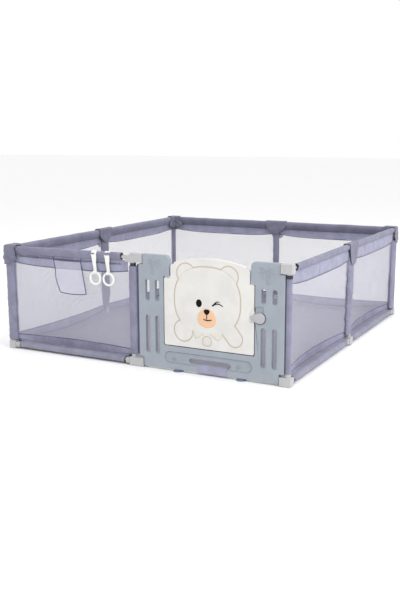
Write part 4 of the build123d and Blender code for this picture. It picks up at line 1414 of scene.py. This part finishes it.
PALMS = ((0.119, 0.6, 0.538), (0.787, 0.6, 0.536))  # each crown's x and z, and the height of the trunk's foot
LEAF_SPRAYS = ((0.222, 0.9), (0.642, 2.2))  # each spray's x and lean


def at_depth(path, y):
    """A path in x and z, set at one depth y."""
    return np.stack([path[:, 0], np.full(len(path), y), path[:, 1]], -1)


def make_palms(context):
    """Low palm reliefs on the gate's upper blocks and leaf reliefs by the ends of the lower recess."""
    patches = []
    t = np.linspace(0, 1, 14)
    for x, z, foot in PALMS:
        trunk = np.stack([x + 0.006 * np.sin(t * 2.4) - 0.004, foot + (z - foot) * t], -1)
        trunk[:, 0] += 0.012 * (1 - t) * (1 if x > 0.5 else -1)
        wide = 0.0105 - 0.0055 * t + 0.0006 * np.sin(t * 40)
        patches.append(pressed(sweep(at_depth(trunk, PANEL_FACE_Y), wide, sides=12), PANEL_FACE_Y, 0.22))
        for angle in (-0.45, 0.3, 0.95, 2.19, 2.84, 3.6):
            path, width = frond((x, z), angle, 0.05, 0.0066)
            blade = sweep(at_depth(path, PANEL_FACE_Y), width, sides=12)
            patches.append(pressed(blade, PANEL_FACE_Y, 0.34))
    for x, lean in LEAF_SPRAYS:
        for turn in (-0.5, 0.0, 0.5):
            path, width = frond((x, 0.06), lean + turn, 0.036, 0.0044)
            patches.append(sweep(at_depth(path, PANEL_FACE_Y + 0.0048), width, sides=8))
    # The palms and leaves are the gate's own plastic, painted darker for the shade round their low edges
    settle(skin("gate_leaf_reliefs", patches), "gate relief plastic with painted shade")


def make_floor_tie(context):
    """A broad cloth tie that comes off the floor sheet and goes round the gate's lower rail."""
    low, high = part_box("floor_tie")
    thick = 0.0022
    path = [
        (high.y, low.z + 0.001),
        (high.y - 0.012, low.z + 0.0008),
        (PANEL_HIGH.y + 0.002, low.z + 0.0015),
        (-1.0, low.z + 0.0012),
        (low.y + 0.006, low.z + 0.0015),
        (low.y + 0.002, low.z + 0.007),
        (low.y + 0.0016, (low.z + high.z) / 2),
        (low.y + 0.002, high.z - 0.008),
        (low.y + 0.006, high.z - 0.0015),
        (-1.0, high.z - 0.001),
        (PANEL_HIGH.y + 0.001, high.z - 0.0018),
        (PANEL_HIGH.y + 0.0028, high.z - 0.008),
        (PANEL_HIGH.y + 0.003, (low.z + high.z) / 2),
        (PANEL_HIGH.y + 0.0065, low.z + 0.006),
    ]
    knots = np.array(path)
    gone = gone_along(knots)
    spots = np.linspace(0, gone[-1], 90)
    line = np.stack([np.interp(spots, gone, knots[:, 0]), np.interp(spots, gone, knots[:, 1])], -1)
    line = smooth_rows(line, 4)
    x = np.linspace(low.x, high.x, 46)
    rows = np.repeat(line[:, None], len(x), axis=1)
    across = np.broadcast_to(x, rows.shape[:2])
    wave = 0.0007 * ripple(across, spots[:, None] + 0 * x, 740, 0.07, 0.02)
    points = np.stack([across, rows[..., 0] + wave, rows[..., 1] + wave * 0.5], -1)
    tie = thicken(skin("floor_tie_cloth", [patch(points, inside=(0.47, -1.0, 0.03))]), thick)
    settle(tie, "tie cloth", nodes=["floor_tie"])
    for side in (low.x + 0.005, high.x - 0.005):
        STITCH_PATHS.append([(side, y - 0.0015, z) for y, z in line[24:56:4]])


def arc(centre, radius, first, last, count):
    """Points along an arc, between two angles."""
    return [
        (centre[0] + radius * math.cos(a), centre[1] + radius * math.sin(a))
        for a in np.linspace(first, last, count)
    ]


def rounded(points, radii, steps=8):
    """An outline with each corner turned on its own radius."""
    out = []
    count = len(points)
    for k, (corner, radius) in enumerate(zip(points, radii)):
        here = np.array(corner)
        before = np.array(points[k - 1]) - here
        after = np.array(points[(k + 1) % count]) - here
        if radius == 0:
            out.append(tuple(here))
            continue
        first = here + before / np.linalg.norm(before) * radius
        last = here + after / np.linalg.norm(after) * radius
        for t in np.linspace(0, 1, steps):
            out.append(tuple((1 - t) ** 2 * first + 2 * t * (1 - t) * here + t ** 2 * last))
    return out


SHOULDER_Z = 0.525
NECK_LEFT, NECK_RIGHT = 0.216, 0.691
CROWN_CORNER_Z = 0.606


def door_outline(bite):
    """The door's edge, seen from the front. A bite leaves room round the latch."""
    left, right, foot, top = DOOR_LOW.x, DOOR_HIGH.x, DOOR_LOW.z, DOOR_HIGH.z
    half = (NECK_RIGHT - NECK_LEFT) / 2
    rise = top - CROWN_CORNER_Z
    radius = (half ** 2 + rise ** 2) / (2 * rise)
    centre = ((NECK_LEFT + NECK_RIGHT) / 2, top - radius)
    spread = math.asin(half / radius)
    crown = arc(centre, radius, math.pi / 2 - spread * 0.9, math.pi / 2 + spread * 0.9, 40)
    sides = [
        ((NECK_LEFT, CROWN_CORNER_Z - 0.004), 0.02),
        ((NECK_LEFT, SHOULDER_Z), 0.004),
        ((left, SHOULDER_Z), 0.011),
        ((left, foot), 0.012),
        ((right, foot), 0.012),
    ]
    if bite:
        knob = node_centre("latch_shaft")
        radius = 0.062
        down = math.sqrt(radius ** 2 - (knob.x - right) ** 2)
        sides.append(((right, knob.z - 0.026), 0))
        turn = math.atan2(down, right - knob.x)
        sides.append(((knob.x - 0.058, knob.z - 0.026), 0.01))
        for a in np.linspace(math.pi, turn, 10):
            sides.append(((knob.x + radius * math.cos(a), knob.z + radius * math.sin(a)), 0))
    sides += [
        ((right, SHOULDER_Z), 0.011),
        ((NECK_RIGHT, SHOULDER_Z), 0.004),
        ((NECK_RIGHT, CROWN_CORNER_Z - 0.004), 0.02),
    ]
    return rounded([point for point, _ in sides], [radius for _, radius in sides]) + crown


# The animal face: soft pads in low relief

FACE_X = 0.44
# The head, ears and left paw: middle in x and z, half width and height, lean, and how square each is
PADS = (
    (0.44, 0.415, 0.2, 0.186, 0.0, 2.35),
    (0.313, 0.556, 0.057, 0.057, 0.0, 2.0),
    (0.568, 0.556, 0.057, 0.057, 0.0, 2.0),
    (0.296, 0.239, 0.057, 0.060, 0.35, 2.1),
)
# Its start and end in x and z, and its radius
RIGHT_PAW = ((0.568, 0.27), (0.606, 0.224), 0.046)


def pad_depth(x, z, pad):
    """Distance inside one pad's edge, negative outside it."""
    centre_x, centre_z, half_x, half_z, lean, power = pad
    dx, dz = x - centre_x, z - centre_z
    across = dx * math.cos(lean) + dz * math.sin(lean)
    up = -dx * math.sin(lean) + dz * math.cos(lean)
    size = (np.abs(across / half_x) ** power + np.abs(up / half_z) ** power) ** (1 / power)
    return (1 - size) * min(half_x, half_z)


def capsule_depth(x, z, capsule):
    """Distance inside a tilted round-ended pad."""
    (start_x, start_z), (end_x, end_z), radius = capsule
    way_x, way_z = end_x - start_x, end_z - start_z
    share = ((x - start_x) * way_x + (z - start_z) * way_z) / (way_x ** 2 + way_z ** 2)
    share = np.clip(share, 0, 1)
    return radius - np.hypot(x - start_x - share * way_x, z - start_z - share * way_z)


def pillow(depth, height, edge):
    """A pad's section: steep at its edge, and nearly flat further in."""
    return height * (1 - np.exp(-np.clip(depth, 0, None) / edge))


def make_door(context):
    edge = context.scene.playpen_gate.edge_radius
    seam_y = DOOR_FACE_Y + 0.0055
    back = plate("door_back_shell", door_outline(False), seam_y - 0.0015, DOOR_HIGH.y, edge)
    front = plate("door_front_shell", door_outline(True), DOOR_FACE_Y, seam_y + 0.0008, edge * 0.8)
    for made in (back, front):
        settle(made, "door plastic", "door", ["gate_door"])
    step = 0.0021
    x, z = grid(np.arange(0.212, 0.668, step), np.arange(0.166, 0.622, step))
    depths = [pad_depth(x, z, pad) for pad in PADS] + [capsule_depth(x, z, RIGHT_PAW)]
    head, ears, paws = depths[0], np.maximum(depths[1], depths[2]), np.maximum(depths[3], depths[4])
    lift = np.where(ears > 0, pillow(ears, 0.0016, 0.008), 0)
    over_ears = pillow(head, 0.0024, 0.008) - 0.0011 * np.exp(-((head / 0.0028) ** 2)) * (ears > 0.004)
    lift = np.where(head > 0, np.maximum(over_ears, 0.0002), lift)
    round_paw = pillow(paws, 0.0034, 0.009)
    lift = np.where(paws > 0, np.maximum(lift, np.minimum(round_paw, lift + 0.0016)), lift)
    outline = np.maximum.reduce(depths)
    margin = 0.004
    keep = outline > -margin
    y = DOOR_FACE_Y - 0.00015 - np.where(outline > 0, lift, 0)
    relief = height_field("door_face_relief", x, y, z, keep)
    # Painted shade: a tan line along the pads' outline, where the low relief's shade falls; none along the
    # chin, and a faint one across the head's top between the ears
    chin = np.exp(-(((x - FACE_X - 0.005) / 0.085) ** 6)) * (z < 0.27)
    line = np.exp(-((outline / 0.0034) ** 2)) * (1 - chin)
    inner_top_shade = np.exp(-((head / 0.0024) ** 2)) * (ears > 0.008) * 0.22
    mark_crease_shade(relief, np.maximum(line, inner_top_shade), keep)
    settle(relief, "door relief plastic", "door")


def kept_quads(keep):
    """The grid cells whose four corners are all kept, and the grid points that they use."""
    cells = keep[:-1, :-1] & keep[1:, :-1] & keep[:-1, 1:] & keep[1:, 1:]
    index = np.arange(keep.size).reshape(keep.shape)
    quads = np.stack([index[:-1, :-1], index[1:, :-1], index[1:, 1:], index[:-1, 1:]], -1)[cells]
    used, faces = np.unique(quads, return_inverse=True)
    return used, faces.reshape(-1, 4)


def height_field(name, x, y, z, keep):
    """A front-facing surface over the kept points of a grid."""
    used, faces = kept_quads(keep)
    points = np.stack([x, y, z], -1).reshape(-1, 3)[used]
    mesh = bpy.data.meshes.new(name)
    mesh.from_pydata(points.tolist(), [], faces.tolist())
    mesh.shade_smooth()
    return add_object(name, mesh)


def mark_crease_shade(made, creases, keep):
    """Stores how deep in a crease each point lies, for the finish to tint."""
    used, _ = kept_quads(keep)
    layer = made.data.attributes.new("crease", "FLOAT", "POINT")
    layer.data.foreach_set("value", np.clip(creases, 0, 1).reshape(-1)[used].astype("f"))


def dome(centre, half_x, half_z, base_y, height, egg=0.0, rings=9, sides=40, power=2.0):
    """A low closed dome that stands out from the door, egg-shaped if asked."""
    rows = []
    for t in np.linspace(1, 0.04, rings):
        turn = full_turn(sides)
        cos, sin = np.cos(turn), np.sin(turn)
        width = half_x * (1 - egg * sin)
        x = centre[0] + t * width * np.sign(cos) * np.abs(cos) ** (2 / power)
        z = centre[1] + t * half_z * np.sign(sin) * np.abs(sin) ** (2 / power)
        lift = height * math.sqrt(max(0.0, 1 - t ** 4))
        rows.append(np.stack([x, np.full(sides, base_y - lift), z], -1))
    first = rows[0].copy()
    first[:, 1] = base_y + 0.0012
    return patch(np.array([first] + rows), ring=True, caps=True)


def nested(outline, middle, steps):
    """A closed low form: an outline in x and z, drawn in towards its middle, at a depth for each step."""
    rows = [at_depth(middle + (outline - middle) * scale, y) for scale, y in steps]
    return patch(np.array(rows), ring=True, caps=True)


# The bow tie's section: how much of its outline, and how far out from the door
TIE_SECTION = ((1.03, -0.001), (1.0, 0.0), (0.95, 0.002), (0.85, 0.0028), (0.5, 0.0032), (0.08, 0.0033))


def make_face_marks(context):
    """Muzzle, nose, mouth, eye, wink, bow tie and button."""
    surface = DOOR_FACE_Y - 0.0024
    muzzle = skin("door_muzzle", [dome((0.441, 0.322), 0.0585, 0.056, surface + 0.0004, 0.003, egg=0.14)])
    settle(muzzle, "muzzle print", "door")
    over = surface - 0.0024
    nose = dome((0.441, 0.3555), 0.0168, 0.0152, over, 0.0016, egg=-0.3, power=2.2)
    eye = dome((0.393, 0.4), 0.0185, 0.0225, surface + 0.0002, 0.0016)
    line = [(0.4415, over + 0.0002, z) for z in np.linspace(0.343, 0.317, 8)]
    smile_x = np.linspace(-1, 1, 21)
    smile = [(0.446 + 0.0265 * t, over + 0.0005 * abs(t), 0.3105 + 0.0058 * t * t) for t in smile_x]
    t = np.linspace(0, 1, 20)
    lid_z = 0.389 + 0.0165 * np.sin(math.pi * (0.05 + 0.9 * t)) ** 0.8
    lash_z = 0.397 + 0.02 * np.sin(math.pi * 0.72 * t) ** 0.9
    lid = np.stack([0.475 + 0.062 * t, 0 * t + surface, lid_z], -1)
    lash = np.stack([0.482 + 0.037 * t, 0 * t + surface, lash_z], -1)
    marks = [
        nose,
        eye,
        sweep(line, 0.0024),
        sweep(smile, 0.0018 + 0.0014 * np.sqrt(np.clip(1 - smile_x ** 2, 0, 1))),
        sweep(lid, 0.0046 - 0.0026 * t),
        sweep(lash, 0.0014 + 0.0028 * (1 - t)),
    ]
    settle(skin("door_face_marks", marks), "face print", "door")
    base = DOOR_FACE_Y + 0.0002
    wings = []
    for hand, middle_x, lean in (("left", 0.39, -1), ("right", 0.497, 1)):
        corners = [
            (FACE_X + lean * 0.004, 0.243),
            (middle_x + lean * 0.036, 0.252),
            (middle_x + lean * 0.028, 0.222),
            (middle_x + lean * 0.016, 0.2),
        ]
        outline = np.array(rounded(corners, [0.004, 0.008, 0.008, 0.009], 6))
        steps = [(scale, base - lift) for scale, lift in TIE_SECTION]
        wings.append(nested(outline, outline.mean(axis=0), steps))
        # Painted shade: a tan line round each wing, where the low relief's shade falls
        rim = sweep(at_depth(outline, base - 0.0002), 0.0011, sides=6, loop=True)
        settle(skin(f"door_tie_shade_line_{hand}", [rim]), "relief shade line", "door")
    turn = full_turn(48)
    # A painted shade ring round the button
    hoop = [(0.44 + 0.0285 * math.cos(a), base - 0.0004, 0.193 + 0.028 * math.sin(a)) for a in turn]
    settle(skin("door_button_shade_rim", [sweep(hoop, 0.0014, loop=True)]), "relief shade line", "door")
    wings.append(dome((0.44, 0.193), 0.0255, 0.025, base - 0.0002, 0.0014))
    for dx in (-0.005, 0.005):
        wings.append(dome((0.44 + dx, 0.194), 0.0018, 0.0018, base - 0.0016, 0.0008, rings=4, sides=12))
    settle(skin("door_tie_and_button", wings), "door trim plastic", "door")


def make_latch(context):
    """A round-ended lever: a broad disc over the shaft, a tongue over the door, and a thumb step."""
    low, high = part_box("latch_knob")
    centre = node_centre("latch_shaft")
    disc, tip, reach = 0.0285, 0.0165, 0.037
    lean = math.asin((disc - tip) / reach)
    outline = arc((centre.x, centre.z), disc, -math.pi / 2 - lean, math.pi / 2 + lean, 44)
    outline += arc((centre.x - reach, centre.z - 0.001), tip, math.pi / 2 + lean, 3 * math.pi / 2 - lean, 22)
    front_steps = (
        (1.0, 0.0022), (0.985, 0.0008), (0.94, -0.0002), (0.8, -0.0009), (0.5, -0.0014), (0.05, -0.0016),
    )
    steps = [(0.97, high.y), (1.0, high.y - 0.001)]
    steps += [(scale, low.y + inset) for scale, inset in front_steps]
    middle = np.array((centre.x - 0.012, centre.z))
    lever = skin("latch_lever", [nested(np.array(outline), middle, steps)])
    settle(lever, "knob plastic", "latch", ["latch_knob"])
    t = np.linspace(-1, 1, 15)
    step = [(centre.x - 0.036 + 0.012 * a, low.y - 0.0006, centre.z - 0.009 + 0.006 * a) for a in t]
    ridge = skin("latch_thumb_step", [sweep(step, 0.0006 + 0.002 * np.sqrt(1 - t ** 2), sides=10)])
    settle(ridge, "knob plastic", "latch")
    repaint("latch_shaft", "knob plastic")


# Stage


def make_stage(context):
    looks = context.scene.playpen_stage
    world = bpy.data.worlds.new("studio")
    context.scene.world = world
    world.use_nodes = True
    sky = world.node_tree.nodes["Background"]
    sky.inputs["Color"].default_value = (1.0, 1.0, 1.0, 1.0)
    sky.inputs["Strength"].default_value = looks.sky
    half = 40.0
    verts = [(-half, -half, 0), (half, -half, 0), (half, half, 0), (-half, half, 0)]
    mesh = bpy.data.meshes.new("studio_floor")
    mesh.from_pydata(verts, [], [(0, 1, 2, 3)])
    ground = add_object("studio_floor", mesh)
    material, p, shader = new_finish("studio floor")
    place = p.node("ShaderNodeTexCoord").outputs["Object"]
    shown = p.mix(p.noise(place, 2.0), (0.93, 0.93, 0.93, 1.0), (0.96, 0.96, 0.96, 1.0))
    p.feed(shader.inputs["Base Color"], shown)
    shader.inputs["Roughness"].default_value = 0.9
    shader.inputs["Specular IOR Level"].default_value = 0.1
    mesh.materials.append(material)
    for name, place, target, size, power in (
        ("key_softbox", (4.6, -2.2, 4.2), (0, 0, 0.3), 3.0, looks.key_power),
        ("fill_softbox", (-3.5, -5.0, 3.4), (0, -0.6, 0.3), 3.0, looks.fill_power),
        ("top_softbox", (0.0, 0.8, 5.5), (0, 0, 0), 4.0, looks.top_power),
    ):
        light = bpy.data.lights.new(name, "AREA")
        light.shape = "SQUARE"
        light.size = size
        light.energy = power
        lamp = add_object(name, light)
        lamp.location = place
        lamp.rotation_euler = (Vector(target) - Vector(place)).to_track_quat("-Z", "Y").to_euler()
    camera = bpy.data.cameras.new("camera")
    camera.sensor_width = 36.0
    camera.lens = looks.lens
    camera.clip_end = 200.0
    holder = add_object("camera", camera)
    yaw, pitch, roll = (math.radians(a) for a in (looks.yaw, looks.pitch, looks.roll))
    ahead = Vector((-math.sin(yaw) * math.cos(pitch), math.cos(yaw) * math.cos(pitch), -math.sin(pitch)))
    right = Vector((math.cos(yaw), math.sin(yaw), 0.0))
    up = right.cross(ahead)
    turned_right = right * math.cos(roll) + up * math.sin(roll)
    turned_up = up * math.cos(roll) - right * math.sin(roll)
    basis = Matrix((turned_right, turned_up, -ahead)).transposed().to_4x4()
    holder.matrix_world = Matrix.Translation(looks.stand) @ basis
    context.scene.camera = holder
    context.scene.view_settings.view_transform = "Standard"


def make_finishes(context):
    """Builds the shared effects, then every material."""
    for build in (build_weave, build_net, build_grain, build_rubbing_and_crease_shade, build_dust):
        build()
    fabric, net, gate = context.scene.playpen_fabric, context.scene.playpen_net, context.scene.playpen_gate
    base = np.array(fabric.colour)
    pitch = fabric.thread_pitch
    cloth_finish("roll cloth", base * 0.95, pitch)
    cloth_finish("band cloth", np.array(fabric.band_colour), pitch, mottle=0.12)
    cloth_finish("cover cloth", base * 0.8, pitch)
    cloth_finish("post cloth", base * 1.0, pitch)
    cloth_finish("skirt cloth", base * 1.0, pitch)
    cloth_finish("skirt band cloth", base * 1.3, pitch)
    cloth_finish("tie cloth", base * 1.35, pitch)
    cloth_finish("piping", np.array(fabric.piping_colour), pitch * 0.8)
    cloth_finish("floor cloth", np.array(fabric.floor_colour), pitch, mottle=0.08, rough=0.7)
    cloth_finish("zip tape", base * 0.95, pitch * 0.8, dusty=False)
    net_finish("wall net", tuple(net.colour), net.pitch, net.cover)
    # The far walls' lighter net is painted light
    net_finish("far wall net with painted light", tuple(net.far_colour_painted_light), net.pitch, net.cover)
    net_finish("pocket net", tuple(net.pocket_colour), net.pitch * 0.7, net.pocket_cover)
    webbing_finish("webbing", (0.84, 0.84, 0.81))
    printed_finish("webbing thread", (0.74, 0.74, 0.71), 0.7)
    printed_finish("seam thread", tuple(base * 1.25), 0.7)
    plastic_finish("gate plastic", tuple(gate.frame_colour), dusty=True)
    # Painted shade: the gate's plastic made darker, with deep painted shade in its creases, so that the low
    # reliefs read
    plastic_finish("gate relief plastic with painted shade", tuple(np.array(gate.frame_colour) * 0.93), grime_and_shade=0.9)
    door = np.array(gate.door_colour)
    plastic_finish("door plastic", tuple(door), rough=0.38)
    plastic_finish("door trim plastic", tuple(door * (0.98, 0.965, 0.93)), rough=0.4, grime_and_shade=0.5)
    # The door's relief gets painted shade in its creases
    relief = plastic_finish("door relief plastic", tuple(door), rough=0.38)
    paint_crease_shade(relief)
    # Painted shade: tan lines round the bow tie and the button
    printed_finish("relief shade line", (0.49, 0.41, 0.32), 0.45)
    plastic_finish("connector plastic", (0.44, 0.44, 0.455), rough=0.45, dusty=True)
    plastic_finish("knob plastic", (0.42, 0.415, 0.44), rough=0.35)
    plastic_finish("ring plastic", (0.86, 0.86, 0.82), rough=0.25, grain=700.0)
    plastic_finish("foot rubber", (0.13, 0.17, 0.27), rough=0.5)
    plastic_finish("dark plastic", (0.04, 0.04, 0.055), rough=0.5, gloss=0.2)
    plastic_finish("zip nylon", (0.15, 0.15, 0.21), rough=0.5)
    printed_finish("face print", (0.006, 0.005, 0.007), 0.55, gloss=0.1)
    printed_finish("muzzle print", tuple(gate.muzzle_colour), 0.4)
    steel_finish("tube steel", (0.58, 0.54, 0.49), 0.25)
    steel_finish("pin steel", (0.6, 0.6, 0.6), 0.25)
    row_tree("stitch row", "stitch")


def paint_crease_shade(material):
    """Warms the relief's creases, where grime and shade gather."""
    p = Painter(material.node_tree)
    shader = material.node_tree.nodes["Principled BSDF"]
    crease = p.node("ShaderNodeAttribute", attribute_name="crease").outputs["Fac"]
    before = shader.inputs["Base Color"].links[0].from_socket
    # Painted shade: the creases turn tan
    crease_shaded = p.mix(p.maths("MULTIPLY", crease, 0.95), before, (0.41, 0.32, 0.225, 1.0))
    p.feed(shader.inputs["Base Color"], crease_shaded)


def make_stitches(context):
    tree = bpy.data.node_groups["stitch row"]
    row_of(
        "seam_stitches", tree, STITCH_PATHS, "seam thread", "pen_fabric",
        Spacing=0.0072, Length=0.0048, Width=0.0011,
    )


# Settings, operators and panel


def colour_property(name, description, default):
    return FloatVectorProperty(
        name=name, description=description, subtype="COLOR", size=3, min=0.0, max=1.0, default=default
    )


def light_property(name, description, default):
    return FloatProperty(
        name=name, description=description, unit="POWER", min=0.0, max=2000.0, default=default
    )


class FabricSettings(bpy.types.PropertyGroup):
    colour: colour_property("Cloth colour", "Main cloth of the pen", (0.235, 0.234, 0.325))
    band_colour: colour_property("Band colour", "Lighter band under the top roll", (0.315, 0.32, 0.435))
    piping_colour: colour_property("Piping colour", "Dark cord along the seams", (0.105, 0.1, 0.17))
    floor_colour: colour_property("Floor cloth colour", "Sheet inside the pen", (0.20, 0.197, 0.255))
    thread_pitch: FloatProperty(
        name="Thread pitch", description="Distance between threads", unit="LENGTH",
        min=0.0003, max=0.01, precision=4, default=0.0012,
    )
    roll_width: FloatProperty(
        name="Roll width", description="Widest part of the padded roll on the top rail", unit="LENGTH",
        min=0.03, max=0.06, default=0.036,
    )


class NetSettings(bpy.types.PropertyGroup):
    colour: colour_property("Wall net colour", "Thread of the wall net", (0.42, 0.415, 0.51))
    # Painted light: the same net, lighter on the back and left walls for the light that shines through them
    # from behind
    far_colour_painted_light: colour_property(
        "Far wall net colour", "Thread of the back and left walls", (0.60, 0.60, 0.64)
    )
    pocket_colour: colour_property("Pocket net colour", "Thread of the pocket net", (0.6, 0.6, 0.73))
    pitch: FloatProperty(
        name="Net pitch", description="Distance between holes", unit="LENGTH",
        min=0.001, max=0.02, precision=4, default=0.0028,
    )
    cover: FloatProperty(
        name="Net cover", description="Share of the wall that is thread", subtype="FACTOR",
        min=0.05, max=0.95, default=0.5,
    )
    pocket_cover: FloatProperty(
        name="Pocket cover", description="Share of the pocket that is thread", subtype="FACTOR",
        min=0.05, max=0.95, default=0.55,
    )


class GateSettings(bpy.types.PropertyGroup):
    frame_colour: colour_property("Gate colour", "Moulded gate frame", (0.31, 0.345, 0.395))
    door_colour: colour_property("Door colour", "Moulded door", (0.70, 0.685, 0.655))
    muzzle_colour: colour_property("Muzzle colour", "Printed muzzle on the door", (0.80, 0.50, 0.315))
    edge_radius: FloatProperty(
        name="Edge radius", description="Rounding of the gate's edges", unit="LENGTH",
        min=0.0005, max=0.008, precision=4, default=0.0035,
    )


class StageSettings(bpy.types.PropertyGroup):
    sky: FloatProperty(
        name="Sky", description="Brightness of the white surroundings", min=0.0, max=3.0, default=1.0
    )
    key_power: light_property("Key light", "Softbox on the right", 150.0)
    fill_power: light_property("Fill light", "Softbox on the left", 8.0)
    top_power: light_property("Top light", "Softbox above", 40.0)
    lens: FloatProperty(
        name="Lens", description="Focal length", subtype="DISTANCE_CAMERA", unit="CAMERA",
        min=10.0, max=200.0, default=49.957,
    )
    yaw: FloatProperty(
        name="Camera yaw", description="Turn to the left of straight ahead, in degrees", default=27.845
    )
    pitch: FloatProperty(name="Camera pitch", description="Tilt down, in degrees", default=11.237)
    roll: FloatProperty(name="Camera roll", description="Roll, in degrees", default=-0.218)
    stand: FloatVectorProperty(
        name="Camera place", description="Where the camera stands", subtype="TRANSLATION", size=3,
        default=(2.448, -4.892, 1.2896),
    )


PIECES = (
    ("finishes", "Finishes", "Make every material", make_finishes),
    ("tubes", "Steel tubes", "Finish the tubes and pins", make_tubes),
    ("connectors", "Connectors", "Round the moulded connectors", make_connectors),
    ("rolls", "Top rolls", "Make the padded rolls, bands and piping", make_rolls),
    ("net_walls", "Net walls", "Make the net walls", make_net_walls),
    ("skirts", "Skirts", "Make the gathered skirts", make_skirts),
    ("floor", "Floor sheet", "Lay the floor sheet", make_floor),
    ("post_sleeves", "Post sleeves", "Make the sleeves on the posts", make_post_sleeves),
    ("corner_covers", "Corner covers", "Make the folded corner covers", make_corner_covers),
    ("middle_covers", "Middle covers", "Make the saddles over the middle posts", make_middle_covers),
    ("pocket", "Pocket", "Make the net pocket", make_pocket),
    ("zip", "Zip", "Make the zip", make_zip),
    ("pull_rings", "Pull rings", "Make the straps and rings", make_pull_rings),
    ("gate_frame", "Gate frame", "Make the moulded gate frame", make_gate_frame),
    ("gate_reliefs", "Gate reliefs", "Raise the palms and leaves on the gate", make_palms),
    ("gate_gaps", "Gate gaps", "Darken the gaps round the door and the fittings", make_gap_shade),
    ("feet", "Suction feet", "Make the suction cups under the gate", make_feet),
    ("floor_tie", "Floor tie", "Wrap the floor tie round the gate's lower rail", make_floor_tie),
    ("door", "Door", "Make the door and the face's relief", make_door),
    ("face_marks", "Face marks", "Print the face and its bow tie on the door", make_face_marks),
    ("latch", "Latch", "Make the turning latch", make_latch),
    ("stitches", "Stitches", "Sew the seams", make_stitches),
    ("stage", "Stage", "Set the floor, lights and camera", make_stage),
)


def operator_for(key, label, note, build):
    """One operator that makes one group of pieces."""

    def execute(self, context):
        build(context)
        return {"FINISHED"}

    members = {"__doc__": note, "bl_idname": f"playpen.{key}", "bl_label": label, "execute": execute}
    return type(f"PLAYPEN_OT_{key}", (bpy.types.Operator,), members)


OPERATORS = [operator_for(*piece) for piece in PIECES]


class PLAYPEN_PT_build(bpy.types.Panel):
    """Lists the pieces of the playpen in the order in which they are made"""

    bl_label = "Playpen"
    bl_idname = "PLAYPEN_PT_build"
    bl_space_type = "VIEW_3D"
    bl_region_type = "UI"
    bl_category = "Playpen"

    def draw(self, context):
        for key, *_ in PIECES:
            self.layout.operator(f"playpen.{key}")


SETTINGS = {
    "playpen_fabric": FabricSettings,
    "playpen_net": NetSettings,
    "playpen_gate": GateSettings,
    "playpen_stage": StageSettings,
}


def register():
    for group in (*SETTINGS.values(), *OPERATORS, PLAYPEN_PT_build):
        bpy.utils.register_class(group)
    for key, group in SETTINGS.items():
        setattr(bpy.types.Scene, key, PointerProperty(type=group))


def unregister():
    for key in SETTINGS:
        delattr(bpy.types.Scene, key)
    for group in reversed((*SETTINGS.values(), *OPERATORS, PLAYPEN_PT_build)):
        bpy.utils.unregister_class(group)


def main():
    register()
    for key, *_ in PIECES:
        getattr(bpy.ops.playpen, key)()


if __name__ == "__main__":
    main()
